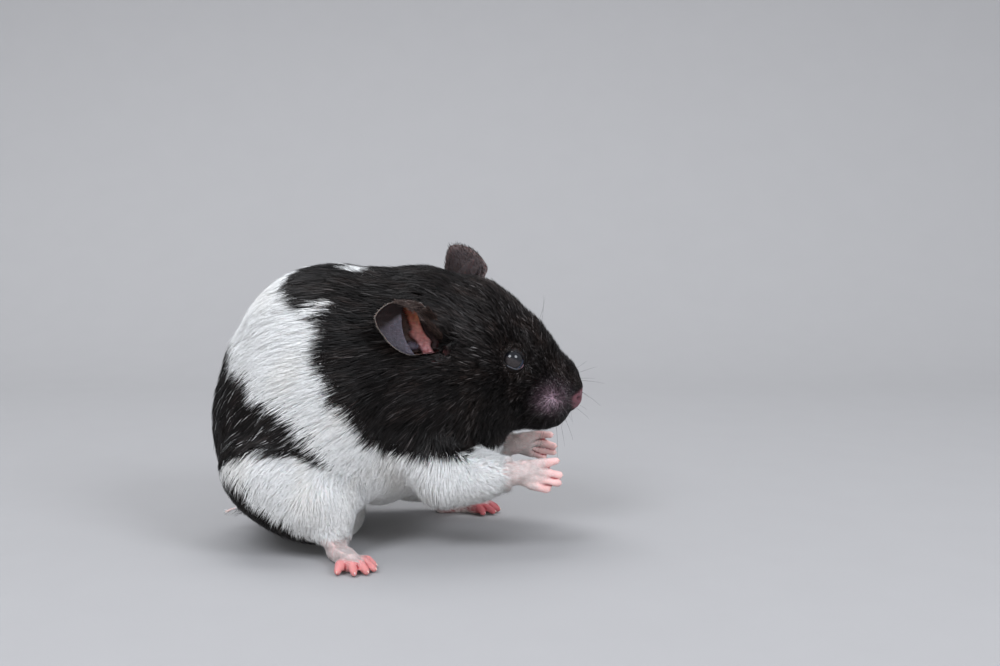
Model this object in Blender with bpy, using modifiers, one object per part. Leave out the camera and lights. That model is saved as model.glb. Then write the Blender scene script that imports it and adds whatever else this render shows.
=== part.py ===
"""A Syrian hamster, life size, squatting on its rump and hind feet with both forepaws held out.

Lengths are in millimetres and are turned to metres as each shape is made. +X is the way the
animal faces, +Y its left side and +Z up, and the floor is Z = 0. The solids hold the outline of
the coat, out to the tips of the hair. One form for the whole body is blended from balls and
tapered limbs and then parted into its nodes with cuts of GAP. The paws, ears and eyes are forms
of their own, because they are much finer.
"""

import math

import bmesh
import bpy
from mathutils import Matrix, Vector

MM = 0.001

# Joints between nodes, and how finely each form is meshed.
GAP = 0.32
BODY_VOXEL, BODY_SMOOTHING, BODY_TRIANGLES = 0.8, 16, 2900
PAW_VOXEL, PAW_SMOOTHING = 0.32, 3
HIND_PAW_TRIANGLES, FORE_PAW_TRIANGLES = 540, 540

# The head: its nose tip, how it is turned, and the places on it in its own frame
# (forward, left, up from the nose tip).
NOSE_TIP = (50.2, -4.0, 40.6)
HEAD_PITCH, HEAD_ROLL, HEAD_YAW = 18.5, 13.0, 10.0
EYE_RADIUS = 3.3
EYE_AT = (-19.4, 10.4, 6.2)
HEAD_LENGTH, NECK_LENGTH = 41.5, 8.0

# Ears: the sheet's length with its root, half its width, and its thickness.
EAR_LENGTH, EAR_HALF_WIDTH, EAR_THICK, EAR_ROOT = 21.0, 8.2, 0.8, 4.5

# Hind paws: heel on the floor, heading in degrees from +X towards +Y.
RIGHT_HEEL, RIGHT_HEADING = (-15.0, -24.6), -61.0
LEFT_HEEL, LEFT_HEADING = (9.4, 23.6), 3.0

# Fore paws: the wrist's middle.
RIGHT_WRIST = (31.2, -19.5, 21.4)
LEFT_WRIST = (31.2, 15.5, 22.2)


def clear_scene():
    for obj in list(bpy.data.objects):
        bpy.data.objects.remove(obj)


def collection(name, hidden=False):
    made = bpy.data.collections.new(name)
    made.hide_render = hidden
    bpy.context.scene.collection.children.link(made)
    return made


def material(name, colour, roughness):
    """A Principled material. colour is an sRGB hex value."""
    made = bpy.data.materials.new(name)
    made.use_nodes = True
    shader = made.node_tree.nodes["Principled BSDF"]
    channels = [((colour >> shift) & 255) / 255 for shift in (16, 8, 0)]
    linear = [c / 12.92 if c <= 0.04045 else ((c + 0.055) / 1.055) ** 2.4 for c in channels]
    shader.inputs["Base Color"].default_value = (*linear, 1.0)
    shader.inputs["Roughness"].default_value = roughness
    made.diffuse_color = (*linear, 1.0)
    return made


def turned(at, pitch=0.0, roll=0.0, yaw=0.0):
    """A frame at a place, nose down by pitch, rolled to its right by roll, turned right by yaw."""
    return (
        Matrix.Translation(Vector(at) * MM)
        @ Matrix.Rotation(-math.radians(yaw), 4, "Z")
        @ Matrix.Rotation(math.radians(pitch), 4, "Y")
        @ Matrix.Rotation(math.radians(roll), 4, "X")
    )


WORLD = Matrix.Identity(4)
HEAD = turned(NOSE_TIP, HEAD_PITCH, HEAD_ROLL, HEAD_YAW)


class Form:
    """Overlapping balls and limbs that are blended into one closed surface."""

    def __init__(self):
        self.shapes = bmesh.new()

    def ball(self, at, radii, frame=WORLD, pitch=0.0, yaw=0.0, segments=32):
        place = frame @ turned(at, pitch, 0.0, yaw) @ Matrix.Diagonal((*(Vector(radii) * MM), 1.0))
        bmesh.ops.create_uvsphere(
            self.shapes, u_segments=segments, v_segments=segments // 2, radius=1.0, matrix=place
        )

    def pair(self, at, radii, frame=WORLD, pitch=0.0):
        """A ball on each side of the frame's middle plane."""
        for side in (-1, 1):
            self.ball((at[0], side * at[1], at[2]), radii, frame, pitch)

    def limb(self, points, radii, frame=WORLD, segments=20):
        """Tapered lengths between balls, through points."""
        places = [frame @ (Vector(p) * MM) for p in points]
        for place, radius in zip(places, radii):
            bmesh.ops.create_uvsphere(
                self.shapes,
                u_segments=segments,
                v_segments=segments // 2,
                radius=radius * MM,
                matrix=Matrix.Translation(place),
            )
        for a, b, wide, narrow in zip(places, places[1:], radii, radii[1:]):
            along = b - a
            place = Matrix.Translation((a + b) / 2) @ along.to_track_quat("Z", "Y").to_matrix().to_4x4()
            bmesh.ops.create_cone(
                self.shapes,
                cap_ends=True,
                segments=segments,
                radius1=wide * MM,
                radius2=narrow * MM,
                depth=along.length,
                matrix=place,
            )

    def blended(self, name, voxel, smoothing, triangles):
        """The shapes as one smooth closed mesh of about that many triangles."""
        mesh = bpy.data.meshes.new(name)
        self.shapes.to_mesh(mesh)
        self.shapes.free()
        rough = bpy.data.objects.new(name, mesh)
        cutters.objects.link(rough)
        remesh = rough.modifiers.new("blend", "REMESH")
        remesh.mode = "VOXEL"
        remesh.voxel_size = voxel * MM
        smooth = rough.modifiers.new("soften", "SMOOTH")
        smooth.factor = 0.5
        smooth.iterations = smoothing
        fine = evaluated(rough)
        rough.modifiers.clear()
        rough.data = fine
        thin = rough.modifiers.new("thin", "DECIMATE")
        thin.ratio = triangles / (2 * len(fine.polygons))
        light = evaluated(rough)
        bpy.data.objects.remove(rough)
        return light


def evaluated(obj):
    """The object's mesh with its modifiers applied."""
    bpy.context.view_layer.update()
    graph = bpy.context.evaluated_depsgraph_get()
    return bpy.data.meshes.new_from_object(obj.evaluated_get(graph))


def cutter(name, mesh):
    obj = bpy.data.objects.new(name, mesh)
    obj.hide_render = True
    obj.display_type = "WIRE"
    cutters.objects.link(obj)
    return obj


def box_cutter(name, low, high, frame=WORLD, grow=0.0):
    """A box between two corners of a frame, grown on every side."""
    low, high = Vector(low) - Vector((grow,) * 3), Vector(high) + Vector((grow,) * 3)
    shape = bmesh.new()
    size = Matrix.Diagonal((*((high - low) * MM), 1.0))
    bmesh.ops.create_cube(
        shape, size=1.0, matrix=frame @ Matrix.Translation((low + high) / 2 * MM) @ size
    )
    mesh = bpy.data.meshes.new(name)
    shape.to_mesh(mesh)
    shape.free()
    return cutter(name, mesh)


def ball_cutter(name, at, radii, frame=WORLD, pitch=0.0, yaw=0.0, grow=0.0):
    """An ellipsoid, grown on every side."""
    shape = bmesh.new()
    size = Matrix.Diagonal((*((Vector(radii) + Vector((grow,) * 3)) * MM), 1.0))
    place = frame @ turned(at, pitch, 0.0, yaw) @ size
    bmesh.ops.create_uvsphere(shape, u_segments=16, v_segments=10, radius=1.0, matrix=place)
    mesh = bpy.data.meshes.new(name)
    shape.to_mesh(mesh)
    shape.free()
    return cutter(name, mesh)


def node(name, mesh, finish, cuts=()):
    """A visible sub-part. cuts are (operation, cutter) pairs, in order."""
    obj = bpy.data.objects.new(name, mesh)
    mesh.materials.clear()
    mesh.materials.append(finish)
    hamster.objects.link(obj)
    for operation, tool in cuts:
        cut = obj.modifiers.new(tool.name, "BOOLEAN")
        cut.operation = operation
        cut.object = tool
    return obj


def body_form():
    """Trunk, neck, head, upper limbs and tail, with the coat's outline."""
    form = Form()
    # Trunk: haunches, arched back, shoulders and chest.
    form.ball((-20.6, 0.0, 32.0), (29.6, 28.5, 33.0))
    form.ball((-19.0, 0.0, 40.5), (29.0, 28.3, 29.0))
    form.ball((-17.0, 0.0, 48.5), (27.2, 26.5, 26.3))
    form.ball((-6.0, 0.0, 48.0), (24.0, 25.5, 26.0))
    form.ball((6.0, 0.0, 49.0), (26.0, 24.5, 25.4))
    form.ball((5.0, 0.0, 40.0), (25.6, 24.4, 22.0))
    form.ball((5.0, 0.0, 31.5), (25.0, 23.0, 20.0))
    # Neck, from the shoulders to the back of the head.
    form.ball((15.5, -1.0, 48.0), (20.0, 21.0, 24.5), pitch=18.0)
    # Head: crown, face, brow, muzzle, cheeks, whisker pads, chin, jaw, nose and the nose's lower edge.
    form.ball((-32.0, 0.0, 2.2), (16.5, 16.5, 17.0), HEAD)
    form.ball((-21.0, 0.0, 0.4), (14.0, 13.6, 13.0), HEAD)
    form.ball((-22.5, 0.0, 4.0), (11.0, 11.0, 12.0), HEAD)
    form.ball((-15.5, 0.0, -0.8), (11.0, 10.8, 10.7), HEAD)
    form.ball((-10.2, 0.0, -1.2), (10.2, 8.6, 8.8), HEAD)
    form.pair((-26.5, 8.6, -6.5), (13.0, 10.2, 12.0), HEAD)
    form.pair((-7.6, 3.9, -5.4), (6.6, 5.0, 7.0), HEAD)
    form.ball((-12.0, 0.0, -9.4), (8.0, 6.6, 5.9), HEAD)
    form.ball((-19.5, 0.0, -9.5), (10.0, 9.5, 9.0), HEAD)
    form.ball((-2.2, 0.0, 0.0), (2.7, 3.2, 2.9), HEAD)
    form.ball((-2.4, 0.0, -3.0), (3.5, 3.0, 3.7), HEAD)
    # Right hind leg, thigh turned out and shank down to the ankle.
    form.ball((-25.5, -19.5, 17.8), (21.5, 11.8, 13.0), pitch=26.0)
    form.limb([(-17.6, -23.0, 11.0), (-15.2, -25.4, 4.8)], [6.6, 3.5])
    # Left hind leg, drawn forward under the belly.
    form.ball((-12.0, 18.5, 18.0), (22.5, 11.5, 13.0), pitch=22.0)
    form.limb([(2.0, 23.0, 11.5), (10.0, 23.6, 4.8)], [7.0, 3.6])
    # Fore legs: shoulder, elbow and wrist.
    form.limb([(7.0, -13.0, 29.0), (13.0, -17.5, 19.6), (23.0, -19.0, 20.8), RIGHT_WRIST], [10.0, 8.0, 6.6, 3.8])
    form.limb([(7.0, 13.0, 29.0), (13.0, 17.0, 19.6), (23.0, 16.5, 21.0), LEFT_WRIST], [10.0, 8.0, 6.6, 3.8])
    # Tail, a short stub.
    form.limb([(-36.0, 0.0, 10.5), (-42.5, 0.6, 8.2), (-47.9, 1.2, 6.0)], [4.4, 2.2, 1.3])
    return form.blended("body", BODY_VOXEL, BODY_SMOOTHING, BODY_TRIANGLES)


def hind_paw(name, heel, heading, side):
    """A five-toed hind paw flat on the floor. side is 1 where its first toe lies to its left."""
    frame = Matrix.Translation(Vector((*heel, 0.0)) * MM) @ Matrix.Rotation(math.radians(heading), 4, "Z")
    form = Form()
    form.limb([(1.2, 0.0, 5.2), (1.6, 0.0, 2.4), (7.6, 0.0, 2.6), (11.4, 0.0, 2.2)], [3.2, 2.6, 2.7, 2.4], frame)
    form.ball((11.8, 0.0, 1.7), (3.8, 4.4, 2.0), frame)
    spread = (44.0, 23.0, 9.0, -8.0, -36.0)
    length = (3.6, 5.4, 5.8, 5.6, 4.2)
    across = (2.9, 1.9, 0.5, -1.0, -2.5)
    for angle, reach, offset in zip(spread, length, across):
        way = Vector((math.cos(math.radians(angle)), side * math.sin(math.radians(angle)), 0.0))
        root = Vector((12.3 - 0.25 * abs(offset) ** 1.6, side * offset, 2.0))
        knuckle = root + way * reach * 0.52 + Vector((0.0, 0.0, 0.35))
        tip = root + way * reach + Vector((0.0, 0.0, -0.95))
        form.limb([root, knuckle, tip], [1.35, 1.2, 1.0], frame, segments=12)
    return form.blended(name, PAW_VOXEL, PAW_SMOOTHING, HIND_PAW_TRIANGLES), frame


def fore_paw(name, wrist, pitch, roll, yaw, side):
    """A four-toed fore paw and its thumb stub. +Z of its frame is the back of the paw."""
    frame = turned(wrist, pitch, roll, yaw)
    form = Form()
    form.limb([(-3.0, 0.0, 0.0), (0.5, 0.0, 0.0), (3.4, 0.0, 0.0)], [3.5, 3.2, 2.4], frame)
    form.ball((4.0, 0.0, -0.1), (3.4, 3.7, 1.9), frame)
    form.ball((2.6, side * 2.7, -0.9), (1.4, 1.0, 0.9), frame)
    spread = (7.0, -8.0, -10.0, -16.0)
    length = (6.7, 7.2, 7.1, 4.6)
    across = (2.3, 0.5, -1.4, -3.0)
    for angle, reach, offset in zip(spread, length, across):
        way = Vector((math.cos(math.radians(angle)), side * math.sin(math.radians(angle)), 0.0))
        root = Vector((5.4 - 0.2 * abs(offset), side * offset, 0.1))
        knuckle = root + way * reach * 0.5 + Vector((0.0, 0.0, 0.25))
        tip = root + way * reach + Vector((0.0, 0.0, -0.9))
        form.limb([root, knuckle, tip], [1.3, 1.2, 1.05], frame, segments=12)
    return form.blended(name, PAW_VOXEL, PAW_SMOOTHING, FORE_PAW_TRIANGLES), frame


def ear(name, base, along, facing, curl_root, curl_tip, grow=0.0):
    """A cupped ear: a disc-shaped sheet, curled more at its root, facing the way it opens."""
    axis = Vector(along).normalized()
    front = (Vector(facing) - axis * Vector(facing).dot(axis)).normalized()
    across = front.cross(axis)
    sheet = bmesh.new()
    bmesh.ops.create_grid(sheet, x_segments=8, y_segments=8, size=1.0)
    for vertex in sheet.verts:
        s, t, _ = vertex.co
        p, q = s * math.sqrt(1 - t * t / 2), t * math.sqrt(1 - s * s / 2)
        rise = (p + 1) / 2
        narrow = 0.62 + 0.38 * min(1.0, rise / 0.55)
        curl = curl_root + (curl_tip - curl_root) * rise
        width = (EAR_HALF_WIDTH + grow) * q * narrow
        angle = width * curl
        place = (
            axis * ((EAR_LENGTH + 2 * grow) * rise - EAR_ROOT - grow)
            + across * math.sin(angle) / curl
            + front * ((1 - math.cos(angle)) / curl - 1.6 * rise * rise)
        )
        vertex.co = (Vector(base) + place) * MM
    mesh = bpy.data.meshes.new(name)
    sheet.to_mesh(mesh)
    sheet.free()
    obj = cutter(name, mesh)
    shell = obj.modifiers.new("thickness", "SOLIDIFY")
    shell.thickness = (EAR_THICK + 2 * grow) * MM
    shell.offset = 0.0
    made = evaluated(obj)
    bpy.data.objects.remove(obj)
    return made


def eye(name, side, grow=0.0):
    place = HEAD @ Matrix.Translation(Vector((EYE_AT[0], side * EYE_AT[1], EYE_AT[2])) * MM)
    shape = bmesh.new()
    bmesh.ops.create_uvsphere(
        shape, u_segments=14, v_segments=9, radius=(EYE_RADIUS + grow) * MM, matrix=place
    )
    mesh = bpy.data.meshes.new(name)
    shape.to_mesh(mesh)
    shape.free()
    return mesh


def seat_on_origin():
    """Moves every node so that the middle of the model's base is the origin."""
    bpy.context.view_layer.update()
    graph = bpy.context.evaluated_depsgraph_get()
    corners = [
        Vector(corner) for obj in hamster.objects for corner in obj.evaluated_get(graph).bound_box
    ]
    middle = [(min(c[i] for c in corners) + max(c[i] for c in corners)) / 2 for i in (0, 1)]
    shift = Vector((-middle[0], -middle[1], -min(c[2] for c in corners)))
    for obj in list(hamster.objects) + list(cutters.objects):
        obj.location = shift
    print("seated by", [round(value / MM, 2) for value in shift], "mm")


clear_scene()
hamster = collection("syrian_hamster")
cutters = collection("cutters", hidden=True)
COAT = material("coat", 0x2A2728, 0.6)
BELLY = material("white_coat", 0xDDE0E0, 0.6)
BARE = material("bare_skin", 0xD9A8A4, 0.5)
EAR_SKIN = material("ear_skin", 0x4A4245, 0.55)
EYE = material("eye", 0x0B0B0D, 0.05)

body = body_form()

floor = box_cutter("floor", (-90, -90, -20), (90, 90, 0))

# The volumes that part the body, each with a twin that is grown by the gap.
HEAD_BOX = ((-HEAD_LENGTH, -40, -20.5), (12, 40, 40))
NECK_BOX = ((-HEAD_LENGTH - NECK_LENGTH, -40, -27.0), (-HEAD_LENGTH - GAP, 40, 40))
head_volume = box_cutter("head_volume", *HEAD_BOX, HEAD)
head_room = box_cutter("head_room", *HEAD_BOX, HEAD, grow=GAP)
neck_volume = box_cutter("neck_volume", *NECK_BOX, HEAD)
neck_room = box_cutter("neck_room", *NECK_BOX, HEAD, grow=GAP)
LEG_VOLUMES = {
    "hind_leg_right": ((-22.0, -30.0, 14.0), (27.0, 16.5, 19.0)),
    "hind_leg_left": ((-6.0, 30.0, 11.0), (29.0, 16.0, 17.0)),
    "fore_leg_right": ((21.0, -22.0, 19.5), (15.0, 10.0, 11.0)),
    "fore_leg_left": ((21.5, 21.0, 20.5), (14.5, 10.0, 11.0)),
}
leg_volume = {n: ball_cutter(n + "_volume", *place) for n, place in LEG_VOLUMES.items()}
leg_room = {n: ball_cutter(n + "_room", *place, grow=GAP) for n, place in LEG_VOLUMES.items()}
tail_volume = ball_cutter("tail_volume", (-46.0, 1.0, 6.0), (7.5, 5.0, 5.0))
tail_room = ball_cutter("tail_room", (-46.0, 1.0, 6.0), (7.5, 5.0, 5.0), grow=GAP)

# Paws, with the volume that each takes out of its leg.
PAWS = {
    "hind_paw_right": hind_paw("hind_paw_right", RIGHT_HEEL, RIGHT_HEADING, 1),
    "hind_paw_left": hind_paw("hind_paw_left", LEFT_HEEL, LEFT_HEADING, -1),
    "fore_paw_right": fore_paw("fore_paw_right", RIGHT_WRIST, -1.0, 78.0, 2.0, 1),
    "fore_paw_left": fore_paw("fore_paw_left", LEFT_WRIST, -2.0, -72.0, 6.0, -1),
}
HIND_CUFF = ((-4.0, -7.0, -3.0), (20.0, 7.0, 4.6))
FORE_CUFF = ((-0.5, -7.0, -7.0), (18.0, 7.0, 7.0))
paw_volume, paw_room = {}, {}
for paw, (mesh, frame) in PAWS.items():
    cuff = HIND_CUFF if paw.startswith("hind") else FORE_CUFF
    paw_volume[paw] = box_cutter(paw + "_volume", *cuff, frame)
    paw_room[paw] = box_cutter(paw + "_room", *cuff, frame, grow=GAP)

# Ears and eyes, with the room that each takes out of the head.
EARS = {
    "ear_right": ((12.0, -21.6, 57.4), (-0.84, -0.42, 0.34), (0.25, -0.93, 0.10), 0.115, 0.07),
    "ear_left": ((20.8, 8.0, 63.0), (-0.32, 0.30, 0.90), (0.45, 0.9, 0.0), 0.14, 0.09),
}
ear_mesh, ear_room = {}, {}
for name, (base, along, facing, curl_root, curl_tip) in EARS.items():
    ear_mesh[name] = ear(name, base, along, facing, curl_root, curl_tip)
    wide = ear(name + "_room", base, along, facing, curl_root, curl_tip, grow=GAP)
    ear_room[name] = cutter(name + "_room", wide)
eye_room = {side: cutter(f"eye_room_{side}", eye("eye_room", side, GAP)) for side in (-1, 1)}

KEEP, CUT = "INTERSECT", "DIFFERENCE"
every_paw_room = [(CUT, room) for room in paw_room.values()]
every_ear_room = [(CUT, room) for room in ear_room.values()]
sockets = [(CUT, room) for room in eye_room.values()]
# Each of the body's nodes keeps its own volume, less the room of those before it.
taken = [*every_paw_room, *every_ear_room, (CUT, floor)]
for name, finish, volume, room in (
    ("head", COAT, head_volume, head_room),
    ("neck", COAT, neck_volume, neck_room),
    ("hind_leg_right", BELLY, leg_volume["hind_leg_right"], leg_room["hind_leg_right"]),
    ("hind_leg_left", BELLY, leg_volume["hind_leg_left"], leg_room["hind_leg_left"]),
    ("fore_leg_right", BELLY, leg_volume["fore_leg_right"], leg_room["fore_leg_right"]),
    ("fore_leg_left", BELLY, leg_volume["fore_leg_left"], leg_room["fore_leg_left"]),
    ("tail", BARE, tail_volume, tail_room),
):
    cuts = [(KEEP, volume), *taken] + (sockets if name == "head" else [])
    node(name, body.copy(), finish, cuts)
    taken.append((CUT, room))
node("trunk", body.copy(), BELLY, taken)
for paw, (mesh, frame) in PAWS.items():
    node(paw, mesh, BARE, [(KEEP, paw_volume[paw]), (CUT, floor)])
for name, mesh in ear_mesh.items():
    node(name, mesh, EAR_SKIN)
for name, side in (("eye_right", -1), ("eye_left", 1)):
    node(name, eye(name, side), EYE)
seat_on_origin()
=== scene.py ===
"""Looks of the Syrian hamster: one skin, a coat of solid hair tufts, eyes, claws and whiskers.

Everything is worked out in millimetres in the row frame, +X the way the animal faces, +Y its left
and +Z up, and is turned to metres when its mesh is made.
"""

import math

import bpy
import numpy as np
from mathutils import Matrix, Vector
from mathutils.bvhtree import BVHTree
from mathutils.kdtree import KDTree


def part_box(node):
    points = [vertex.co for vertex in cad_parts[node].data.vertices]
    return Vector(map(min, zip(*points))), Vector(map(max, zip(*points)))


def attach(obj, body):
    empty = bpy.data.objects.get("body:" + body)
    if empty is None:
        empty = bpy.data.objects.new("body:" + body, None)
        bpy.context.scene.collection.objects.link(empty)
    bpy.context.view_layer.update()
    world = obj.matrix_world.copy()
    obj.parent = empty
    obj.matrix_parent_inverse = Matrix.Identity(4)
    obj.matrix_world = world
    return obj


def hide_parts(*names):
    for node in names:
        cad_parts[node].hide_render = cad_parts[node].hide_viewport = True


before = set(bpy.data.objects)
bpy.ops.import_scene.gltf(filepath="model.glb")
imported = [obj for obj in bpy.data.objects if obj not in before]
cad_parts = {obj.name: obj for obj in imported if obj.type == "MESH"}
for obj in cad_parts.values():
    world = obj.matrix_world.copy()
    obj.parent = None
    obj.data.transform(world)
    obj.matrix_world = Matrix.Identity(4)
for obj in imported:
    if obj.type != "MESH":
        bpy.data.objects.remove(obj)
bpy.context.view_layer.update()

MM = 0.001
SEED = 20240611
DRAWN = np.random.default_rng(SEED)

PAW_NODES = ("hind_paw_right", "hind_paw_left", "fore_paw_right", "fore_paw_left")
FLESH = (
    "head",
    "neck",
    "trunk",
    "tail",
    "hind_leg_right",
    "hind_leg_left",
    "fore_leg_right",
    "fore_leg_left",
    *PAW_NODES,
)
EARS = ("ear_right", "ear_left")
RIGHT, LEFT = -1, 1

# The head's turn and the places that the solids' source gives, in its own frame and unseated.
NOSE_TIP = (50.2, -4.0, 40.6)
HEAD_PITCH, HEAD_ROLL, HEAD_YAW = 18.5, 13.0, 10.0
EYE_AT = (-19.4, 10.4, 6.2)
EYE_RADIUS = 3.3

# Skin: how finely it is meshed, and the triangles it ends with.
FULL_VOXEL = 0.34
SKIN_VOXEL = FULL_VOXEL
SKIN_TRIANGLES = 125_000
NODE_GROWTH = 0.24
WELD = 1e-3
# Steps of smoothing at the full fineness: of the solids' joins, of the ways in, of the skin once it has
# been moved in, and of the way it is let out again.
JOIN_STEPS, INWARD_STEPS, SKIN_STEPS, OUTWARD_STEPS = 50, 14, 16, 40

# Coat: hairs are gathered in tufts this many to a piece.
TUFTS = 137_000
TUFTS_PER_PIECE = 19_000
BAKE_PATCH = 0.003
UNWRAP_FACES = 7000


def smoothstep(low, high, value):
    """0 up to low and 1 from high on, with a soft step between them."""
    t = np.clip((value - low) / (high - low), 0.0, 1.0)
    return t * t * (3.0 - 2.0 * t)


def unit(vectors):
    return vectors / np.maximum(np.linalg.norm(vectors, axis=-1, keepdims=True), 1e-9)


def mix(a, b, share):
    """a where share is 0 and b where it is 1. share has one value for each row."""
    share = np.asarray(share)[..., None]
    return a * (1.0 - share) + b * share


def turn(axis, degrees):
    """A rotation matrix about one of the frame's axes."""
    c, s = math.cos(math.radians(degrees)), math.sin(math.radians(degrees))
    return {
        "x": np.array([[1, 0, 0], [0, c, -s], [0, s, c]]),
        "y": np.array([[c, 0, s], [0, 1, 0], [-s, 0, c]]),
        "z": np.array([[c, -s, 0], [s, c, 0], [0, 0, 1]]),
    }[axis]


HEAD_TURN = turn("z", -HEAD_YAW) @ turn("y", HEAD_PITCH) @ turn("x", HEAD_ROLL)
HEAD_FORWARD, _, HEAD_UP = HEAD_TURN.T


def curve(at, points):
    """The height at each place of the line through points, which are (place, height) pairs."""
    places, heights = zip(*points)
    return np.interp(at, places, heights)


def node_middle(name):
    low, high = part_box(name)
    return np.array((low + high) / 2) / MM


# The solids were seated on the origin after they were made: this is that shift.
SEAT = node_middle("eye_right") - (
    np.array(NOSE_TIP) + HEAD_TURN @ (np.array(EYE_AT) * (1, RIGHT, 1))
)
NOSE = np.array(NOSE_TIP) + SEAT
EYES = {RIGHT: node_middle("eye_right"), LEFT: node_middle("eye_left")}


def in_head(points):
    """Points of the row frame as (forward, left, up) from the nose tip."""
    return (points - NOSE) @ HEAD_TURN


def from_head(points):
    return NOSE + np.asarray(points, float) @ HEAD_TURN.T


# ---------------------------------------------------------------- noise


def noise(points, scale, seed):
    """Smooth noise of about -1 to 1 over lengths of scale, from sine waves. Each pattern has its own seed."""
    waves = np.random.default_rng(SEED + seed)
    total = np.zeros(len(points))
    for _ in range(7):
        way = unit(waves.normal(size=3)) * 2 * math.pi / (scale * waves.uniform(0.6, 1.7))
        total += np.sin(points @ way + waves.uniform(0, 2 * math.pi))
    return total / 3.2


# ---------------------------------------------------------------- meshes


def vertices_of(mesh):
    """A mesh's vertices, in millimetres."""
    points = np.empty(len(mesh.vertices) * 3)
    mesh.vertices.foreach_get("co", points)
    return points.reshape(-1, 3) / MM


def normals_of(mesh):
    normals = np.empty(len(mesh.vertices) * 3)
    mesh.vertices.foreach_get("normal", normals)
    return normals.reshape(-1, 3)


def triangles_of(mesh):
    mesh.calc_loop_triangles()
    corners = np.empty(len(mesh.loop_triangles) * 3, np.int32)
    mesh.loop_triangles.foreach_get("vertices", corners)
    return corners.reshape(-1, 3)


def set_vertices(mesh, points):
    """Move a mesh's vertices to points in millimetres."""
    mesh.vertices.foreach_set("co", (points * MM).ravel())
    mesh.update()


def mesh_from(name, points, faces):
    """A smooth mesh from points in millimetres and an array of faces with the same corner count."""
    mesh = bpy.data.meshes.new(name)
    faces = np.asarray(faces, np.int32)
    mesh.vertices.add(len(points))
    mesh.vertices.foreach_set("co", (np.asarray(points, float) * MM).ravel())
    mesh.loops.add(faces.size)
    mesh.loops.foreach_set("vertex_index", faces.ravel())
    mesh.polygons.add(len(faces))
    mesh.polygons.foreach_set("loop_start", np.arange(len(faces), dtype=np.int32) * faces.shape[1])
    mesh.update(calc_edges=True)
    mesh.polygons.foreach_set("use_smooth", np.ones(len(faces), bool))
    return mesh


def set_tint(mesh, colours):
    """Linear colours, one for each vertex, in the attribute that the materials read."""
    tint = mesh.color_attributes.new("tint", "FLOAT_COLOR", "POINT")
    rows = np.ones((len(colours), 4))
    rows[:, :3] = colours
    tint.data.foreach_set("color", rows.ravel())


def tree_of(points):
    """A search tree of points, which gives back their numbers."""
    tree = KDTree(len(points))
    for number, point in enumerate(points):
        tree.insert(Vector(point), number)
    tree.balance()
    return tree


def surface_tree(points, triangles):
    corners = [tuple(triangle) for triangle in triangles.tolist()]
    return BVHTree.FromPolygons([Vector(point) for point in points], corners)


def place(name, mesh):
    obj = bpy.data.objects.new(name, mesh)
    bpy.context.scene.collection.objects.link(obj)
    return obj


def evaluated(obj):
    bpy.context.view_layer.update()
    graph = bpy.context.evaluated_depsgraph_get()
    return bpy.data.meshes.new_from_object(obj.evaluated_get(graph))


def joined(parts):
    """(points, faces) pairs with equal corner counts as one pair."""
    points, faces, first = [], [], 0
    for part_points, part_faces in parts:
        points.append(part_points)
        faces.append(np.asarray(part_faces) + first)
        first += len(part_points)
    return np.vstack(points), np.vstack(faces)


class Neighbours:
    """Averages over a mesh's edges."""

    def __init__(self, mesh):
        edges = np.empty(len(mesh.edges) * 2, np.int32)
        mesh.edges.foreach_get("vertices", edges)
        a, b = edges.reshape(-1, 2).T
        self.here, self.there = np.concatenate([a, b]), np.concatenate([b, a])
        self.count = np.maximum(np.bincount(self.here, minlength=len(mesh.vertices)), 1)

    def mean(self, values):
        total = [
            np.bincount(self.here, weights=values[self.there, i], minlength=len(values))
            for i in range(values.shape[1])
        ]
        return np.stack(total, axis=1) / self.count[:, None]

    def smoothed(self, values, steps, share=1.0):
        share = np.asarray(share)[..., None] if np.ndim(share) else share
        for _ in range(steps):
            values = values + (self.mean(values) - values) * 0.6 * share
        return values


# ---------------------------------------------------------------- limbs

# Places from the solids' source: the limbs' middle lines with their radii.
RIGHT_WRIST, LEFT_WRIST = (31.2, -19.5, 21.4), (31.2, 15.5, 22.2)
FORE_LIMBS = {
    "fore_right": (
        [(7.0, -13.0, 29.0), (13.0, -17.5, 19.6), (23.0, -19.0, 20.8), RIGHT_WRIST],
        [10.0, 8.0, 6.6, 3.8],
    ),
    "fore_left": (
        [(7.0, 13.0, 29.0), (13.0, 17.0, 19.6), (23.0, 16.5, 21.0), LEFT_WRIST],
        [10.0, 8.0, 6.6, 3.8],
    ),
}
HIND_LIMBS = {
    "hind_right": ([(-30.0, -20.0, 19.0), (-17.6, -23.0, 12.0), (-15.2, -25.4, 4.8)], [11.0, 9.0, 3.5]),
    "hind_left": ([(-12.0, 19.0, 18.0), (2.0, 23.0, 11.5), (10.0, 23.6, 4.8)], [11.0, 8.0, 3.6]),
}
LIMBS = {**FORE_LIMBS, **HIND_LIMBS}
# Paws: where each starts, its turn, and the side of it that its first toe is on.
HIND_PAWS = (((-15.0, -24.6, 0.0), turn("z", -61.0), 1), ((9.4, 23.6, 0.0), turn("z", 3.0), -1))
FORE_PAWS = (
    (RIGHT_WRIST, turn("z", -2.0) @ turn("y", -1.0) @ turn("x", 78.0), 1),
    (LEFT_WRIST, turn("z", -6.0) @ turn("y", -2.0) @ turn("x", -72.0), -1),
)
# Toes: (the way it points in degrees, its length, its offset across the paw).
HIND_TOES = ((44.0, 3.6, 2.9), (23.0, 5.4, 1.9), (9.0, 5.8, 0.5), (-8.0, 5.6, -1.0), (-36.0, 4.2, -2.5))
FORE_TOES = ((7.0, 6.7, 2.3), (-8.0, 7.2, 0.5), (-10.0, 7.1, -1.4), (-16.0, 4.6, -3.0))


def hind_toe_root(side, offset):
    return np.array([12.3 - 0.25 * abs(offset) ** 1.6, side * offset, 2.0])


def fore_toe_root(side, offset):
    return np.array([5.4 - 0.2 * abs(offset), side * offset, 0.1])


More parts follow.
